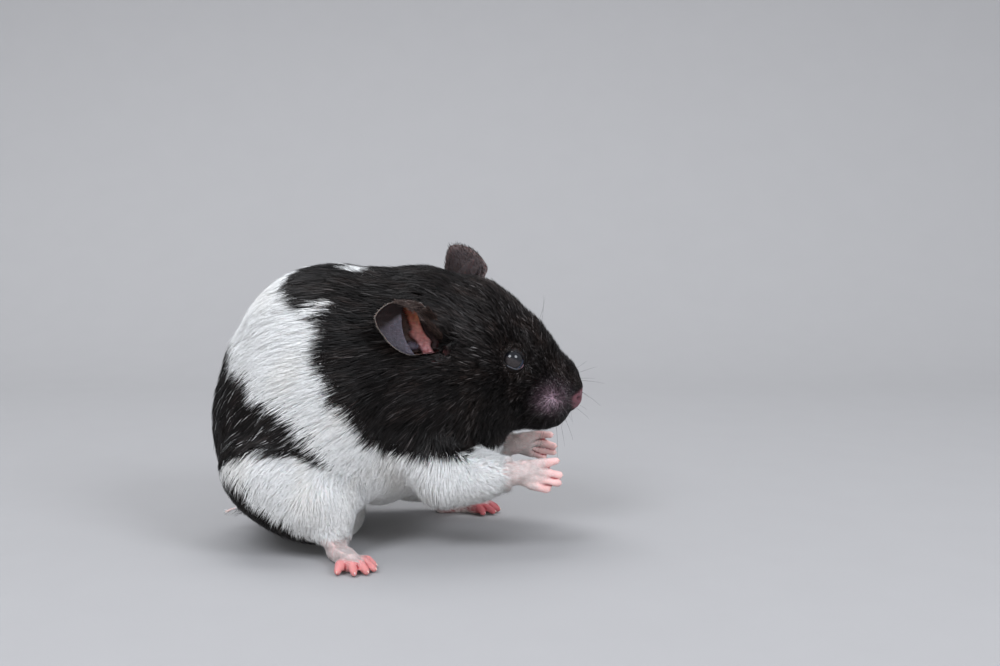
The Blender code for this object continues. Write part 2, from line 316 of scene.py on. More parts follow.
def toe_tips(paws, toes, root_of, drop):
    """(tip, way forward, up) of each toe, one list for each paw. A tip lies this drop below its root."""
    found = []
    for start, turned, side in paws:
        tips = []
        for degrees, reach, offset in toes:
            angle = math.radians(degrees)
            way = np.array([math.cos(angle), side * math.sin(angle), 0.0])
            tip = root_of(side, offset) + way * reach - (0, 0, drop)
            tips.append((np.array(start) + SEAT + turned @ tip, turned @ way, turned @ (0, 0, 1.0)))
        found.append(tips)
    return found


PAWS = toe_tips(HIND_PAWS, HIND_TOES, hind_toe_root, 0.95)
PAWS += toe_tips(FORE_PAWS, FORE_TOES, fore_toe_root, 0.9)
PAW_ENDS = [np.mean([tip for tip, _, _ in tips], axis=0) for tips in PAWS]


def to_toes(points):
    """Distance to the nearest toe's tip, in millimetres."""
    least = np.full(len(points), 1e9)
    for tips in PAWS:
        for tip, _, _ in tips:
            least = np.minimum(least, np.linalg.norm(points - tip, axis=1))
    return least


def toe_clefts(points):
    """1 in the clefts between neighbouring toes, 0 away from them."""
    most = np.zeros(len(points))
    for tips in PAWS:
        gaps = []
        for tip, way, _ in tips:
            along = np.clip((points - tip) @ way, -4.4, 0.6)
            gaps.append(np.linalg.norm(points - tip - along[:, None] * way, axis=1))
        for a, b in zip(gaps, gaps[1:]):
            between = np.exp(-(((a - b) / 0.3) ** 2)) * smoothstep(2.4, 1.7, np.minimum(a, b))
            most = np.maximum(most, between)
    return most


def along_limb(points, limb):
    """How far points are from a limb's middle line, in its radii, and from its end, in millimetres."""
    line, radii = LIMBS[limb]
    line = np.array(line) + SEAT
    best = np.full(len(points), 1e9)
    left = np.zeros(len(points))
    lengths = np.linalg.norm(np.diff(line, axis=0), axis=1)
    for i, length in enumerate(lengths):
        way = (line[i + 1] - line[i]) / length
        t = np.clip((points - line[i]) @ way, 0.0, length)
        away = np.linalg.norm(points - line[i] - t[:, None] * way, axis=1)
        share = away / (radii[i] + (radii[i + 1] - radii[i]) * t / length)
        closer = share < best
        best[closer] = share[closer]
        left[closer] = (lengths[i:].sum() - t)[closer]
    return best, left


def limb_share(points, limb, reach=1.3):
    """1 on a limb and 0 away from it."""
    share, _ = along_limb(points, limb)
    return smoothstep(reach, reach - 0.25, share)


def to_paw(points):
    """Distance to the nearest paw's box, in millimetres."""
    least = np.full(len(points), 1e9)
    for paw in PAW_NODES:
        low, high = (np.array(corner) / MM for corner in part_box(paw))
        outside = np.maximum(np.maximum(low - points, points - high), 0.0)
        least = np.minimum(least, np.linalg.norm(outside, axis=1))
    return least


def paw_share(points):
    """1 on the bare paws, 0 above the wrists and ankles."""
    return smoothstep(2.6, 0.0, to_paw(points))


def to_tail_tip(points):
    """Distance to the tail's tip, low at its rear, in millimetres."""
    low, high = (np.array(corner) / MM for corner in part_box("tail"))
    tip = np.array([low[0], (low[1] + high[1]) / 2, low[2]])
    return np.linalg.norm(points - tip, axis=1)


# How deep the coat is, in millimetres, by the distance back from the nose.
COAT_DEPTHS = [(-1, 0.0), (1.5, 0.05), (6, 0.32), (12, 0.52), (22, 0.85), (34, 1.35), (46, 2.0)]
DEEPEST_COAT = 2.1
# The belly tucks up in front of the thighs: by how much, where its middle is and how far it reaches.
BELLY_TUCK = 7.0
TUCK_AT, TUCK_REACH = (-6.0, 5.0), (6.0, 7.0)


def coat_depth(points):
    """How deep the coat is, in millimetres: the skin lies this far inside the solids."""
    head = in_head(points)
    depth = curve(-head[:, 0], COAT_DEPTHS)
    depth += 0.4 * smoothstep(-4, -12, head[:, 2]) * smoothstep(-12, -24, head[:, 0])
    depth = np.minimum(depth, DEEPEST_COAT)
    for limb in LIMBS:
        share, left = along_limb(points, limb)
        on = smoothstep(1.5, 1.1, share)
        depth = depth * (1 - on) + np.minimum(depth, 0.45 + 0.08 * left) * on
    depth = np.minimum(depth, 0.03 + 0.26 * to_paw(points))
    for middle in EYES.values():
        away = np.linalg.norm(points - middle, axis=1) - EYE_RADIUS
        depth = np.minimum(depth, 0.04 + 0.30 * np.maximum(away - 0.5, 0.0))
    x, _, z = (points - SEAT).T
    tuck = np.exp(-(((x - TUCK_AT[0]) / TUCK_REACH[0]) ** 2) - ((z - TUCK_AT[1]) / TUCK_REACH[1]) ** 2)
    for limb in HIND_LIMBS:
        tuck *= 1 - smoothstep(1.18, 0.92, along_limb(points, limb)[0])
    depth = depth + BELLY_TUCK * tuck * smoothstep(0.0, 1.4, to_paw(points))
    depth = np.minimum(depth, 0.12 + 0.26 * to_tail_tip(points))
    depth *= smoothstep(-0.6, 3.0, points[:, 2]) * 0.6 + 0.4
    return depth


# ---------------------------------------------------------------- markings


# Edges of the black patches. The hood's rear edge gives its x by height.
HOOD_BACK = [(27, -1), (30, -6), (37, -11), (43, -16), (47, -16), (51, -20), (60, -19), (68, -15), (76, -13)]
# The other edges give their height by x: the hood's foot, the rump patch's top, the foot of the arm that
# reaches forward below it, and the line behind the white thigh.
HOOD_FOOT = [(-8, 29), (-4, 26), (27, 26)]
RUMP_TOP = [
    (-50, 56), (-44, 55), (-43, 48), (-38, 46), (-36, 42), (-28, 39), (-23, 33), (-18, 27), (-12, 23),
]
ARM_FOOT = [(-48, 20), (-42, 25), (-34, 28), (-23, 27), (-16, 24), (-12, 24)]
THIGH_BACK = [(-41, 20), (-25, 7), (-12, 2)]
# A wedge of the white band runs into the hood: its mouth as (x, height), its length and the way it runs.
WEDGE_AT, WEDGE_LENGTH, WEDGE_WAY = (-22.0, 63.6), 6.0, (0.89, 0.46)


def black_share(points):
    """How far inside a black patch points are, in millimetres: positive where the hair is black."""
    unseated = points - SEAT
    x, y, z = unseated.T
    # The hood covers the head, neck and shoulders.
    hood_back = curve(z, HOOD_BACK)
    hood_foot = curve(x, HOOD_FOOT)
    hood = np.minimum(x - hood_back, z - hood_foot)
    # A spot on the back runs into the hood, with a white notch above and one below.
    spot = (1.0 - np.sqrt(((x + 18.4) / 10.2) ** 2 + ((y + 9.2) / 13.4) ** 2)) * 10.0
    spot = np.where(z > 50, spot, -9.0)
    notch_top = 1.6 - np.linalg.norm((unseated - (-9.8, -3.2, 74.2)) / (1.7, 1.5, 1.0), axis=1)
    forward, up = x - WEDGE_AT[0], z - WEDGE_AT[1]
    inward = np.clip((forward * WEDGE_WAY[0] + up * WEDGE_WAY[1]) / WEDGE_LENGTH, 0.0, 1.0)
    run = WEDGE_LENGTH * inward
    off_line = np.hypot(forward - WEDGE_WAY[0] * run, up - WEDGE_WAY[1] * run)
    notch_foot = np.where(y < 0, 1.3 - 0.9 * inward - off_line, -9.0)
    # The rump is black behind and below. An arm of it reaches forward above the thigh and thins to a point.
    rump_top = curve(x, RUMP_TOP)
    arm_foot = curve(x, ARM_FOOT)
    thigh_back = curve(x, THIGH_BACK) + 14 * smoothstep(13.5, 8.5, np.abs(y))
    arm = np.minimum(rump_top - z, z - arm_foot)
    behind = np.minimum(np.minimum(rump_top - z, -14.0 - x), thigh_back - z)
    under = np.minimum(np.minimum(15.0 - np.abs(y), -14.0 - x), 22.0 - z)
    rump = np.maximum(np.maximum(arm, behind), under)
    edge = np.maximum(hood, np.maximum(spot, rump))
    edge = np.minimum(edge, -np.maximum(notch_top, notch_foot))
    # The forearms are white all round.
    for limb in FORE_LIMBS:
        share, left = along_limb(points, limb)
        edge = edge - 8.0 * smoothstep(1.3, 1.1, share) * smoothstep(10, 7.5, left)
    return edge


# A whisker pad's middle in the head's own frame, on the left side, and how far it reaches.
PAD_AT, PAD_REACH = (-7.3, 5.9, -1.8), (3.2, 3.6, 2.9)


def muzzle_pad(head, side):
    """1 at the middle of a whisker pad, 0 away from it."""
    away = (head - np.array(PAD_AT) * (1, side, 1)) / PAD_REACH
    return np.exp(-((np.linalg.norm(away, axis=1)) ** 2))


def srgb(code):
    """A linear colour from an sRGB hex value."""
    channels = [((code >> shift) & 255) / 255 for shift in (16, 8, 0)]
    return np.array([c / 12.92 if c <= 0.04045 else ((c + 0.055) / 1.055) ** 2.4 for c in channels])


BLACK_HAIR, BROWN_HAIR = srgb(0x080707), srgb(0x1E1613)
WHITE_HAIR, CREAM_HAIR = srgb(0xF8F9F9), srgb(0xF2EFE9)
PAW_HAIR = srgb(0xE8D8D5)
# The deep pink is painted shade in the clefts between the toes and in the paws' hollows.
PAW_PINK, TOE_PINK, DEEP_PINK_SHADE, TAIL_PINK = srgb(0xD8B9B6), srgb(0xBE7D7C), srgb(0x8C252D), srgb(0xC2A09E)
# The nostrils' near black is painted shade in their holes.
PAD_MAUVE, NOSE_ROSE, NOSTRIL_SHADE = srgb(0xA68B9A), srgb(0x6A474E), srgb(0x1E0C0F)


def coat_colours(points, jitter=0.0):
    """The coat's linear colour at points. jitter moves each point's patch edge, in millimetres."""
    edge = black_share(points) + noise(points, 7.0, 11) * 0.45 + noise(points, 2.2, 12) * 0.3 + jitter
    black = smoothstep(0.0, 0.5, edge) * (1 - paw_share(points)) * smoothstep(4.0, 7.0, to_tail_tip(points))
    head = in_head(points)
    brown = 0.18 + 0.4 * smoothstep(-0.2, 0.9, noise(points, 9.0, 13))
    dark = mix(BLACK_HAIR, BROWN_HAIR, brown * 0.55)
    for side in (RIGHT, LEFT):
        dark = mix(dark, PAD_MAUVE, 0.72 * muzzle_pad(head, side))
    light = mix(WHITE_HAIR, CREAM_HAIR, 0.5 * smoothstep(0.0, 1.0, noise(points, 14.0, 14)))
    light = mix(light, PAW_HAIR, smoothstep(2.0, 0.0, to_paw(points)))
    return mix(light, dark, black), black


# ---------------------------------------------------------------- skin


def grown_copy(node):
    """A node's welded points and triangles, grown so that it meets its neighbours."""
    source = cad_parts[node].data
    points, faces = vertices_of(source), triangles_of(source)
    grid = np.round(points / WELD).astype(np.int64)
    _, first, same = np.unique(grid, axis=0, return_index=True, return_inverse=True)
    points, faces = points[first], same.ravel()[faces]
    a, b, c = (points[faces[:, i]] for i in range(3))
    normal = np.cross(b - a, c - a)
    normals = np.zeros_like(points)
    for i in range(3):
        for axis in range(3):
            normals[:, axis] += np.bincount(faces[:, i], weights=normal[:, axis], minlength=len(points))
    return points + unit(normals) * NODE_GROWTH, faces


def body_skin():
    """The bare body's mesh: the solids of flesh made one, let in by the coat's depth, with its face."""
    rough = place("rough_skin", mesh_from("rough_skin", *joined([grown_copy(n) for n in FLESH])))
    remesh = rough.modifiers.new("one_skin", "REMESH")
    remesh.mode = "VOXEL"
    remesh.voxel_size = SKIN_VOXEL * MM
    mesh = evaluated(rough)
    bpy.data.objects.remove(rough)
    near = Neighbours(mesh)
    start = vertices_of(mesh)
    depth = coat_depth(start)
    scale = (FULL_VOXEL / SKIN_VOXEL) ** 2
    soft = np.clip(depth / 1.5, 0.06, 1.0)
    points = near.smoothed(start, round(JOIN_STEPS * scale), soft)
    set_vertices(mesh, points)
    normals = unit(near.smoothed(normals_of(mesh), round(INWARD_STEPS * scale)))
    points = points - normals * (depth + NODE_GROWTH)[:, None]
    points = near.smoothed(points, round(SKIN_STEPS * scale), soft)
    # Smoothing shrinks round forms, so the skin is let out again by what it lost on average.
    lost = np.sum((start - points) * normals, axis=1) - depth - NODE_GROWTH
    points = points + normals * near.smoothed(lost[:, None], round(OUTWARD_STEPS * scale))
    set_vertices(mesh, points)
    points = modelled_face(points, normals_of(mesh))
    set_vertices(mesh, points)
    body = place("rough_skin", mesh)
    thin = body.modifiers.new("thin", "DECIMATE")
    thin.ratio = SKIN_TRIANGLES / max(2 * len(mesh.polygons), SKIN_TRIANGLES + 1)
    light = evaluated(body)
    bpy.data.objects.remove(body)
    return light


# The near ear's canal, and the thinly haired skin under its opening, with how far each reaches.
EAR_HOLE, EAR_HOLE_REACH = np.array([10.8, -22.7, 55.6]) + SEAT, (1.5, 3.0, 2.9)
EAR_NOTCH, EAR_NOTCH_REACH = np.array([11.9, -23.4, 52.5]) + SEAT, (1.9, 2.6, 1.5)


def ear_notch(points):
    """1 on the thinly haired skin under the ear's opening, 0 away from it."""
    return np.exp(-((np.linalg.norm((points - EAR_NOTCH) / EAR_NOTCH_REACH, axis=1)) ** 2))


# Half angles of an eye's opening, seen from its middle in degrees, and the lids' depth over the ball.
LID_WIDE, LID_HIGH = 60.0, 39.0
LID_DEPTH = 2.1
GAZE = {side: unit(HEAD_TURN @ np.array([0.315, side * 0.812, 0.49])) for side in (RIGHT, LEFT)}


def eye_axes(side):
    """An eye's gaze, and the ways ahead and up across it."""
    gaze = GAZE[side]
    ahead = unit(HEAD_FORWARD - gaze * (HEAD_FORWARD @ gaze))
    up = np.cross(gaze, ahead) * (1 if side == RIGHT else -1)
    return gaze, ahead, up


def half_opening(turns):
    """The half angle of an eye's opening, in degrees, at turns round it from ahead."""
    return LID_WIDE * np.cos(turns) ** 2 + LID_HIGH * np.sin(turns) ** 2


def past_lids(out, side):
    """How far unit vectors from an eye's middle point outside its opening, in degrees: negative inside it."""
    gaze, ahead, up = eye_axes(side)
    angle = np.degrees(np.arccos(np.clip(out @ gaze, -1, 1)))
    return angle - half_opening(np.arctan2(out @ up, out @ ahead))


def in_opening(away, side, margin):
    """Whether places, seen from an eye's middle, lie over its opening or within a margin of it in degrees."""
    return past_lids(unit(away), side) < margin


def nostril(head, side):
    """1 in a nostril, 0 away from it: a comma that trails outwards and up."""
    _, y, z = head.T
    out = side * y - 1.7
    return np.exp(-((out / 0.62) ** 2) - ((z + 1.5 - 0.4 * out) / 0.42) ** 2)


def modelled_face(points, normals):
    """The skin's points with nostrils, lip, mouth, ear canal, toe clefts and eye sockets pressed in."""
    head = in_head(points)
    x, y, z = head.T
    ahead = smoothstep(-4.0, -2.2, x)
    press = np.zeros(len(points))
    for side in (RIGHT, LEFT):
        press += 0.9 * ahead * nostril(head, side)
        wing = ((y - side * 2.2) / 0.6) ** 2 + ((z - 0.1) / 0.7) ** 2
        press -= 0.3 * ahead * np.exp(-wing)
    cleft = np.exp(-((y / 0.28) ** 2)) * smoothstep(-8.6, -7.4, z) * smoothstep(-1.8, -3.0, z)
    press += 0.55 * cleft * smoothstep(-6.0, -3.0, x)
    lip = -9.9 - 0.30 * (-2.0 - x)
    mouth = np.exp(-(((z - lip) / 0.34) ** 2)) * smoothstep(-11.5, -8.5, x) * smoothstep(6.5, 4.5, np.abs(y))
    press += 0.6 * mouth
    hole = np.linalg.norm((points - EAR_HOLE) / EAR_HOLE_REACH, axis=1)
    press += 2.4 * np.exp(-(hole**2))
    press += 0.5 * toe_clefts(points)
    return with_sockets(points - normals * press[:, None])


def with_sockets(points):
    """The skin's points with the eye sockets pressed in: it meets the balls at the lids."""
    for side, middle in EYES.items():
        away = points - middle
        distance = np.linalg.norm(away, axis=1)
        out = unit(away)
        gap = past_lids(out, side)
        hidden = (distance < EYE_RADIUS + 2.2) & (gap < -4)
        near = (distance < EYE_RADIUS + 1.4) & ~hidden
        # The skin comes down to the ball at the lids.
        close = EYE_RADIUS + 0.16 + 0.012 * np.clip(gap, 0, 30)
        reach = np.where(hidden, EYE_RADIUS - 0.7, np.where(near & (distance < close), close, distance))
        # Round the lids it slopes up gently to the brow and the cheek.
        slope = EYE_RADIUS + 0.18 + 0.034 * np.clip(gap, 0, 60)
        beside = ~hidden & (gap < 34) & (distance < EYE_RADIUS + 3.5) & (reach > slope)
        kept = np.maximum(smoothstep(10, 34, gap), smoothstep(EYE_RADIUS + 1.2, EYE_RADIUS + 3.4, distance))
        reach = np.where(beside, slope + (reach - slope) * kept, reach)
        points = middle + out * reach[:, None]
    return points


# The lids' grey is a painted highlight along the lower lid's inner edge.
LID_BLACK, LID_HIGHLIGHT_GREY, CORNER_PINK = srgb(0x1B1819), srgb(0x47494F), srgb(0x6A545C)


def near_turn(turns, at, reach):
    """1 where turns are at an angle, 0 away from it, all in radians."""
    return np.exp(-((np.angle(np.exp(1j * (turns - at)))) / reach) ** 2)


def lid_ring(side):
    """The lids: a soft rim that lies on the eyeball round its opening."""
    around, section = 96, 22
    gaze, ahead, up = eye_axes(side)
    turns = np.linspace(0, 2 * math.pi, around, endpoint=False)
    rolls = np.linspace(0, 2 * math.pi, section, endpoint=False)
    corner = near_turn(turns, -0.22, 0.26)
    rear = near_turn(turns, math.pi - 0.1, 0.3)
    open_angle = np.radians(half_opening(turns) + 4.0 * corner + 1.5 * rear)
    spoke = np.cos(turns)[:, None] * ahead + np.sin(turns)[:, None] * up
    # A lid starts at the opening with a round edge and follows the ball back under the fur.
    angle = open_angle[:, None] + ((1.0 + np.cos(rolls)) * LID_DEPTH / 2)[None, :] / EYE_RADIUS
    high = 0.16 * np.sign(np.sin(rolls)) * np.sqrt(np.abs(np.sin(rolls)))
    points = EYES[side] + (EYE_RADIUS + 0.02 + high)[None, :, None] * (
        np.cos(angle)[..., None] * gaze + np.sin(angle)[..., None] * spoke[:, None]
    )
    index = np.arange(around * section).reshape(around, section)
    nxt, side_on = np.roll(index, -1, axis=0), np.roll(index, -1, axis=1)
    both = np.roll(nxt, -1, axis=1)
    faces = np.stack([index, nxt, both, side_on], axis=-1).reshape(-1, 4)
    if side == LEFT:
        faces = faces[:, ::-1]
    inner = (np.cos(rolls)[None, :] < -0.82) & (np.sin(rolls)[None, :] > -0.1)
    low = (np.sin(turns)[:, None] < -0.25) & (corner[:, None] < 0.3)
    shade = np.broadcast_to(LID_BLACK, (around, section, 3)).copy()
    # A painted highlight in grey along the lower lid's inner edge.
    shade[inner & low] = LID_HIGHLIGHT_GREY
    shade[(corner[:, None] > 0.6) & (np.cos(rolls)[None, :] < -0.3)] = CORNER_PINK
    return points.reshape(-1, 3), faces, shade.reshape(-1, 3)


# ---------------------------------------------------------------- ears

# An ear's length and half width, the part of its length that is inside the head, and its points a side.
EAR_LENGTH, EAR_HALF_WIDTH, EAR_ROOT = 21.0, 8.2, 4.5
EAR_STEPS = 90
# Each ear's base, the ways it points and opens, and how tightly it curls at its root and its tip.
EAR_SHAPES = {
    "ear_right": ((12.0, -21.6, 57.4), (-0.84, -0.42, 0.34), (0.25, -0.93, 0.10), 0.115, 0.07),
    "ear_left": ((20.8, 8.0, 63.0), (-0.32, 0.30, 0.90), (0.45, 0.9, 0.0), 0.14, 0.09),
}
# The outline of an ear, as shares of its radius at turns from its tip: up the front, then down the rear.
EAR_OUTLINE = [(-180, 1.0), (-90, 0.9), (-30, 1.05), (0, 1.1), (30, 0.9), (90, 0.85), (110, 0.8), (180, 1.0)]
# Lines on an ear: how far up it each lies at its middle, how it slopes across the ear and how it bends.
FLAP_EDGE = (0.70, -0.18, -0.12)
SHADOW_LINE = (0.84, 0.30, 0.0)
RIDGE_LINE = (0.47, -0.31, 0.05)
# Half the ridge's width, how much it swells, where it swells and how far the swelling reaches.
RIDGE_HALF, RIDGE_SWELL, SWELL_AT, SWELL_REACH = 0.08, 0.05, 0.18, 0.14
# The front edge's hair: how far up it reaches at the ear's middle, how fast that falls, and its most.
HAIR_REACH, HAIR_FALL, HAIR_TOP = 0.15, 2.6, 0.86
# Painted shade: the cup's near black and the canal's dark; painted shadow: the trench's brown under the flap.
EAR_BACK, EAR_BACK_RIM, EAR_CUP_SHADE, FLAP_SLATE = srgb(0x3C3435), srgb(0x5E5150), srgb(0x120A0A), srgb(0x4B4750)
TRENCH_SHADOW_BROWN, BLOOD_RED, KNOB_GREY = srgb(0x20120E), srgb(0x5E2626), srgb(0x312C35)
CANAL_SHADE, EDGE_BROWN = srgb(0x170A0A), srgb(0x241C1B)
RIM_PALE, FAR_EAR_GREY = srgb(0x6A625D), srgb(0x584C4B)
# The ridge's flesh turns from brown to pink across the ear, from this place on.
RIDGE_BROWN, RIDGE_PINK = srgb(0x56301F), srgb(0x765254)
PINK_FROM = -0.4


def bent_line(q, line):
    """How far up an ear a line lies at q across it."""
    height, slope, bend = line
    return height + slope * q + bend * q * q


def ear_folds(rise, q):
    """Shares of an ear's folds at places on it: rise runs from its root to its tip, q down across it."""
    flap_edge = bent_line(q, FLAP_EDGE)
    shadow_line = bent_line(q, SHADOW_LINE)
    half = RIDGE_HALF + RIDGE_SWELL * np.exp(-(((q - SWELL_AT) / SWELL_REACH) ** 2))
    across = np.clip(0.5 + (rise - bent_line(q, RIDGE_LINE)) / (2 * half), -1.0, 2.0)
    return {
        "flap": smoothstep(flap_edge - 0.008, flap_edge + 0.016, rise),
        "flap_slope": np.clip((rise - flap_edge) / 0.32, 0.0, 1.0),
        "shadow": smoothstep(shadow_line - 0.05, shadow_line + 0.05, rise),
        "ridge": smoothstep(-0.12, 0.12, across) * smoothstep(1.12, 0.88, across),
        "crest": np.sin(math.pi * np.clip(across, 0.0, 1.0)) ** 0.8,
        "trench": smoothstep(0.95, 1.15, across) * smoothstep(flap_edge + 0.005, flap_edge - 0.01, rise),
        "canal": smoothstep(0.05, -0.25, across),
        "knob": np.exp(-((((rise - 0.50) / 0.085) ** 2 + ((q - 0.52) / 0.14) ** 2) ** 2)),
        "hairy": smoothstep(0.0, -0.02, rise - hair_front(q)),
    }


def hair_front(q):
    """How far up an ear the hair of its front edge reaches, at q across it."""
    return np.minimum(HAIR_TOP, HAIR_REACH * np.exp(-HAIR_FALL * q))


def on_ear(rise, q):
    """Places on an ear laid flat, in millimetres, for its patterns."""
    return np.stack([rise * EAR_LENGTH, q * EAR_HALF_WIDTH, 0 * q], axis=-1).reshape(-1, 3)


def ear_relief(rise, q):
    """Heights of an ear's folds towards its opening, in millimetres."""
    fold = ear_folds(rise, q)
    at = on_ear(rise, q)
    grain = (noise(at, 1.6, 41) * 0.05 + noise(at, 0.7, 42) * 0.012).reshape(rise.shape)
    height = 1.25 * fold["flap"] * (1 - fold["flap_slope"]) ** 1.4 * (1 - 0.75 * fold["shadow"])
    height += 1.05 * fold["ridge"] * fold["crest"] * (0.75 + 0.25 * np.sin(11 * q + 1)) + 0.9 * fold["knob"]
    return height - 0.8 * fold["trench"] - 1.2 * fold["canal"] * (1 - fold["hairy"]) + grain


def ear_colours(rise, q, edge, name):
    """Linear colours of an ear's inside: a slate flap, a pink ridge, and painted shade and shadow in the
    hollows between them.
    """
    fold = ear_folds(rise, q)
    at = on_ear(rise, q)
    # Painted light and shade: the flap is lit near its edge and darkens down its slope and under the rim into
    # the cup's shade.
    lit = (1 - fold["shadow"]) * (0.45 + 0.55 * (1 - fold["flap_slope"]) ** 3)
    colour = mix(np.broadcast_to(EAR_CUP_SHADE, rise.shape + (3,)), FLAP_SLATE, fold["flap"] * lit)
    # Painted shadow in the trench beyond the flap's edge.
    colour = mix(colour, TRENCH_SHADOW_BROWN, fold["trench"])
    flesh = np.broadcast_to(RIDGE_BROWN, rise.shape + (3,))
    flesh = mix(flesh, RIDGE_PINK, np.clip(q - PINK_FROM, 0.0, 1.0))
    colour = mix(colour, flesh, fold["ridge"])
    blood = smoothstep(0.2, 1.0, noise(at, 1.3, 45)).reshape(rise.shape)
    colour = mix(colour, BLOOD_RED, fold["ridge"] * blood * 0.6)
    colour = mix(colour, KNOB_GREY, np.clip(1.3 * fold["knob"], 0, 1))
    # Painted shade in the ear canal.
    colour = mix(colour, CANAL_SHADE, fold["canal"] * 0.9)
    colour = mix(colour, EDGE_BROWN, fold["hairy"])
    mottle = 1 + 0.16 * noise(at, 1.6, 43) + 0.16 * noise(at, 0.6, 44)
    colour = colour * mottle.reshape(rise.shape)[..., None]
    colour = mix(colour, RIM_PALE, smoothstep(0.984, 0.995, edge) * smoothstep(0.3, 0.5, rise))
    if name == "ear_left":
        colour = mix(colour, FAR_EAR_GREY, 0.6)
    return np.clip(colour, 0.0, 1.0)


def sheet_faces(inside, front):
    """Quads of a closed sheet: its inside, its outside, whose points come after, and the rim between them."""
    rows, columns, _ = inside.shape
    total = rows * columns
    index = np.arange(total).reshape(rows, columns)
    quads = np.stack([index[:-1, :-1], index[1:, :-1], index[1:, 1:], index[:-1, 1:]], -1).reshape(-1, 4)
    border = np.concatenate([index[:-1, 0], index[-1, :-1], index[::-1, -1][:-1], index[0, ::-1][:-1]])
    after = np.roll(border, -1)
    wall = np.stack([border, after, after + total, border + total], -1)
    # Which way a quad in the middle faces decides the winding of them all.
    a, b, c = inside.reshape(-1, 3)[quads[len(quads) // 2][:3]]
    if np.cross(b - a, c - b) @ front > 0:
        return np.vstack([quads, quads[:, ::-1] + total, wall[:, ::-1]])
    return np.vstack([quads[:, ::-1], quads + total, wall])


def ear_sheet(name):
    """A cupped ear with its folds: its points, quads and colours, and what its hairs need."""
    base, along, facing, curl_root, curl_tip = EAR_SHAPES[name]
    axis = unit(np.array(along))
    front = unit(np.array(facing) - axis * (np.array(facing) @ axis))
    across = np.cross(front, axis)
    steps = np.linspace(-1, 1, EAR_STEPS)
    s, t = np.meshgrid(steps, steps, indexing="ij")
    # A square grid is drawn into a disc, p from the root to the tip and q across.
    p, q = s * np.sqrt(1 - t * t / 2), t * np.sqrt(1 - s * s / 2)
    edge = np.sqrt(p * p + q * q)
    reach = curve(np.degrees(np.arctan2(q, p)) * (1 if name == "ear_right" else -1), EAR_OUTLINE)
    p, q = p * reach, q * reach
    rise = (p + 1) / 2
    narrow = 0.62 + 0.38 * np.minimum(1.0, rise / 0.55)
    curl = curl_root + (curl_tip - curl_root) * rise
    width = EAR_HALF_WIDTH * q * narrow
    angle = width * curl
    turned_q = q if name == "ear_right" else -q
    relief = ear_relief(rise, turned_q) * smoothstep(1.0, 0.9, edge)
    # The front edge sinks into the head, under its fur.
    sunk = 3.2 * smoothstep(0.0, 0.26, hair_front(turned_q) - rise) * smoothstep(0.64, 0.44, rise)
    sunk = np.maximum(sunk, 3.6 * smoothstep(0.17, 0.03, rise))
    relief += 0.22 * np.exp(-(((edge - 0.985) / 0.025) ** 2)) * smoothstep(0.25, 0.5, rise)
    middle = (
        np.array(base)
        + SEAT
        + axis * (EAR_LENGTH * rise - EAR_ROOT)[..., None]
        + across * (np.sin(angle) / curl)[..., None]
        + front * ((1 - np.cos(angle)) / curl - 1.6 * rise * rise - sunk)[..., None]
    )
    inside = middle + front * relief[..., None]
    thick = 0.14 + 0.26 * np.sqrt(np.clip(1 - edge**2, 0, 1)) - np.minimum(relief, 0)
    outside = middle - front * thick[..., None]
    colours = ear_colours(rise, turned_q, edge, name).reshape(-1, 3)
    back = mix(np.broadcast_to(EAR_BACK, colours.shape), EAR_BACK_RIM, smoothstep(0.8, 1.0, edge).ravel())
    return {
        "points": np.vstack([inside.reshape(-1, 3), outside.reshape(-1, 3)]),
        "faces": sheet_faces(inside, front),
        "colours": np.vstack([colours, back]),
        "inside": inside.reshape(-1, 3),
        "outside": outside.reshape(-1, 3),
        "front": front,
        "axis": axis,
        "rise": rise.ravel(),
        "q": turned_q.ravel(),
        "edge": edge.ravel(),
    }


# ---------------------------------------------------------------- coat


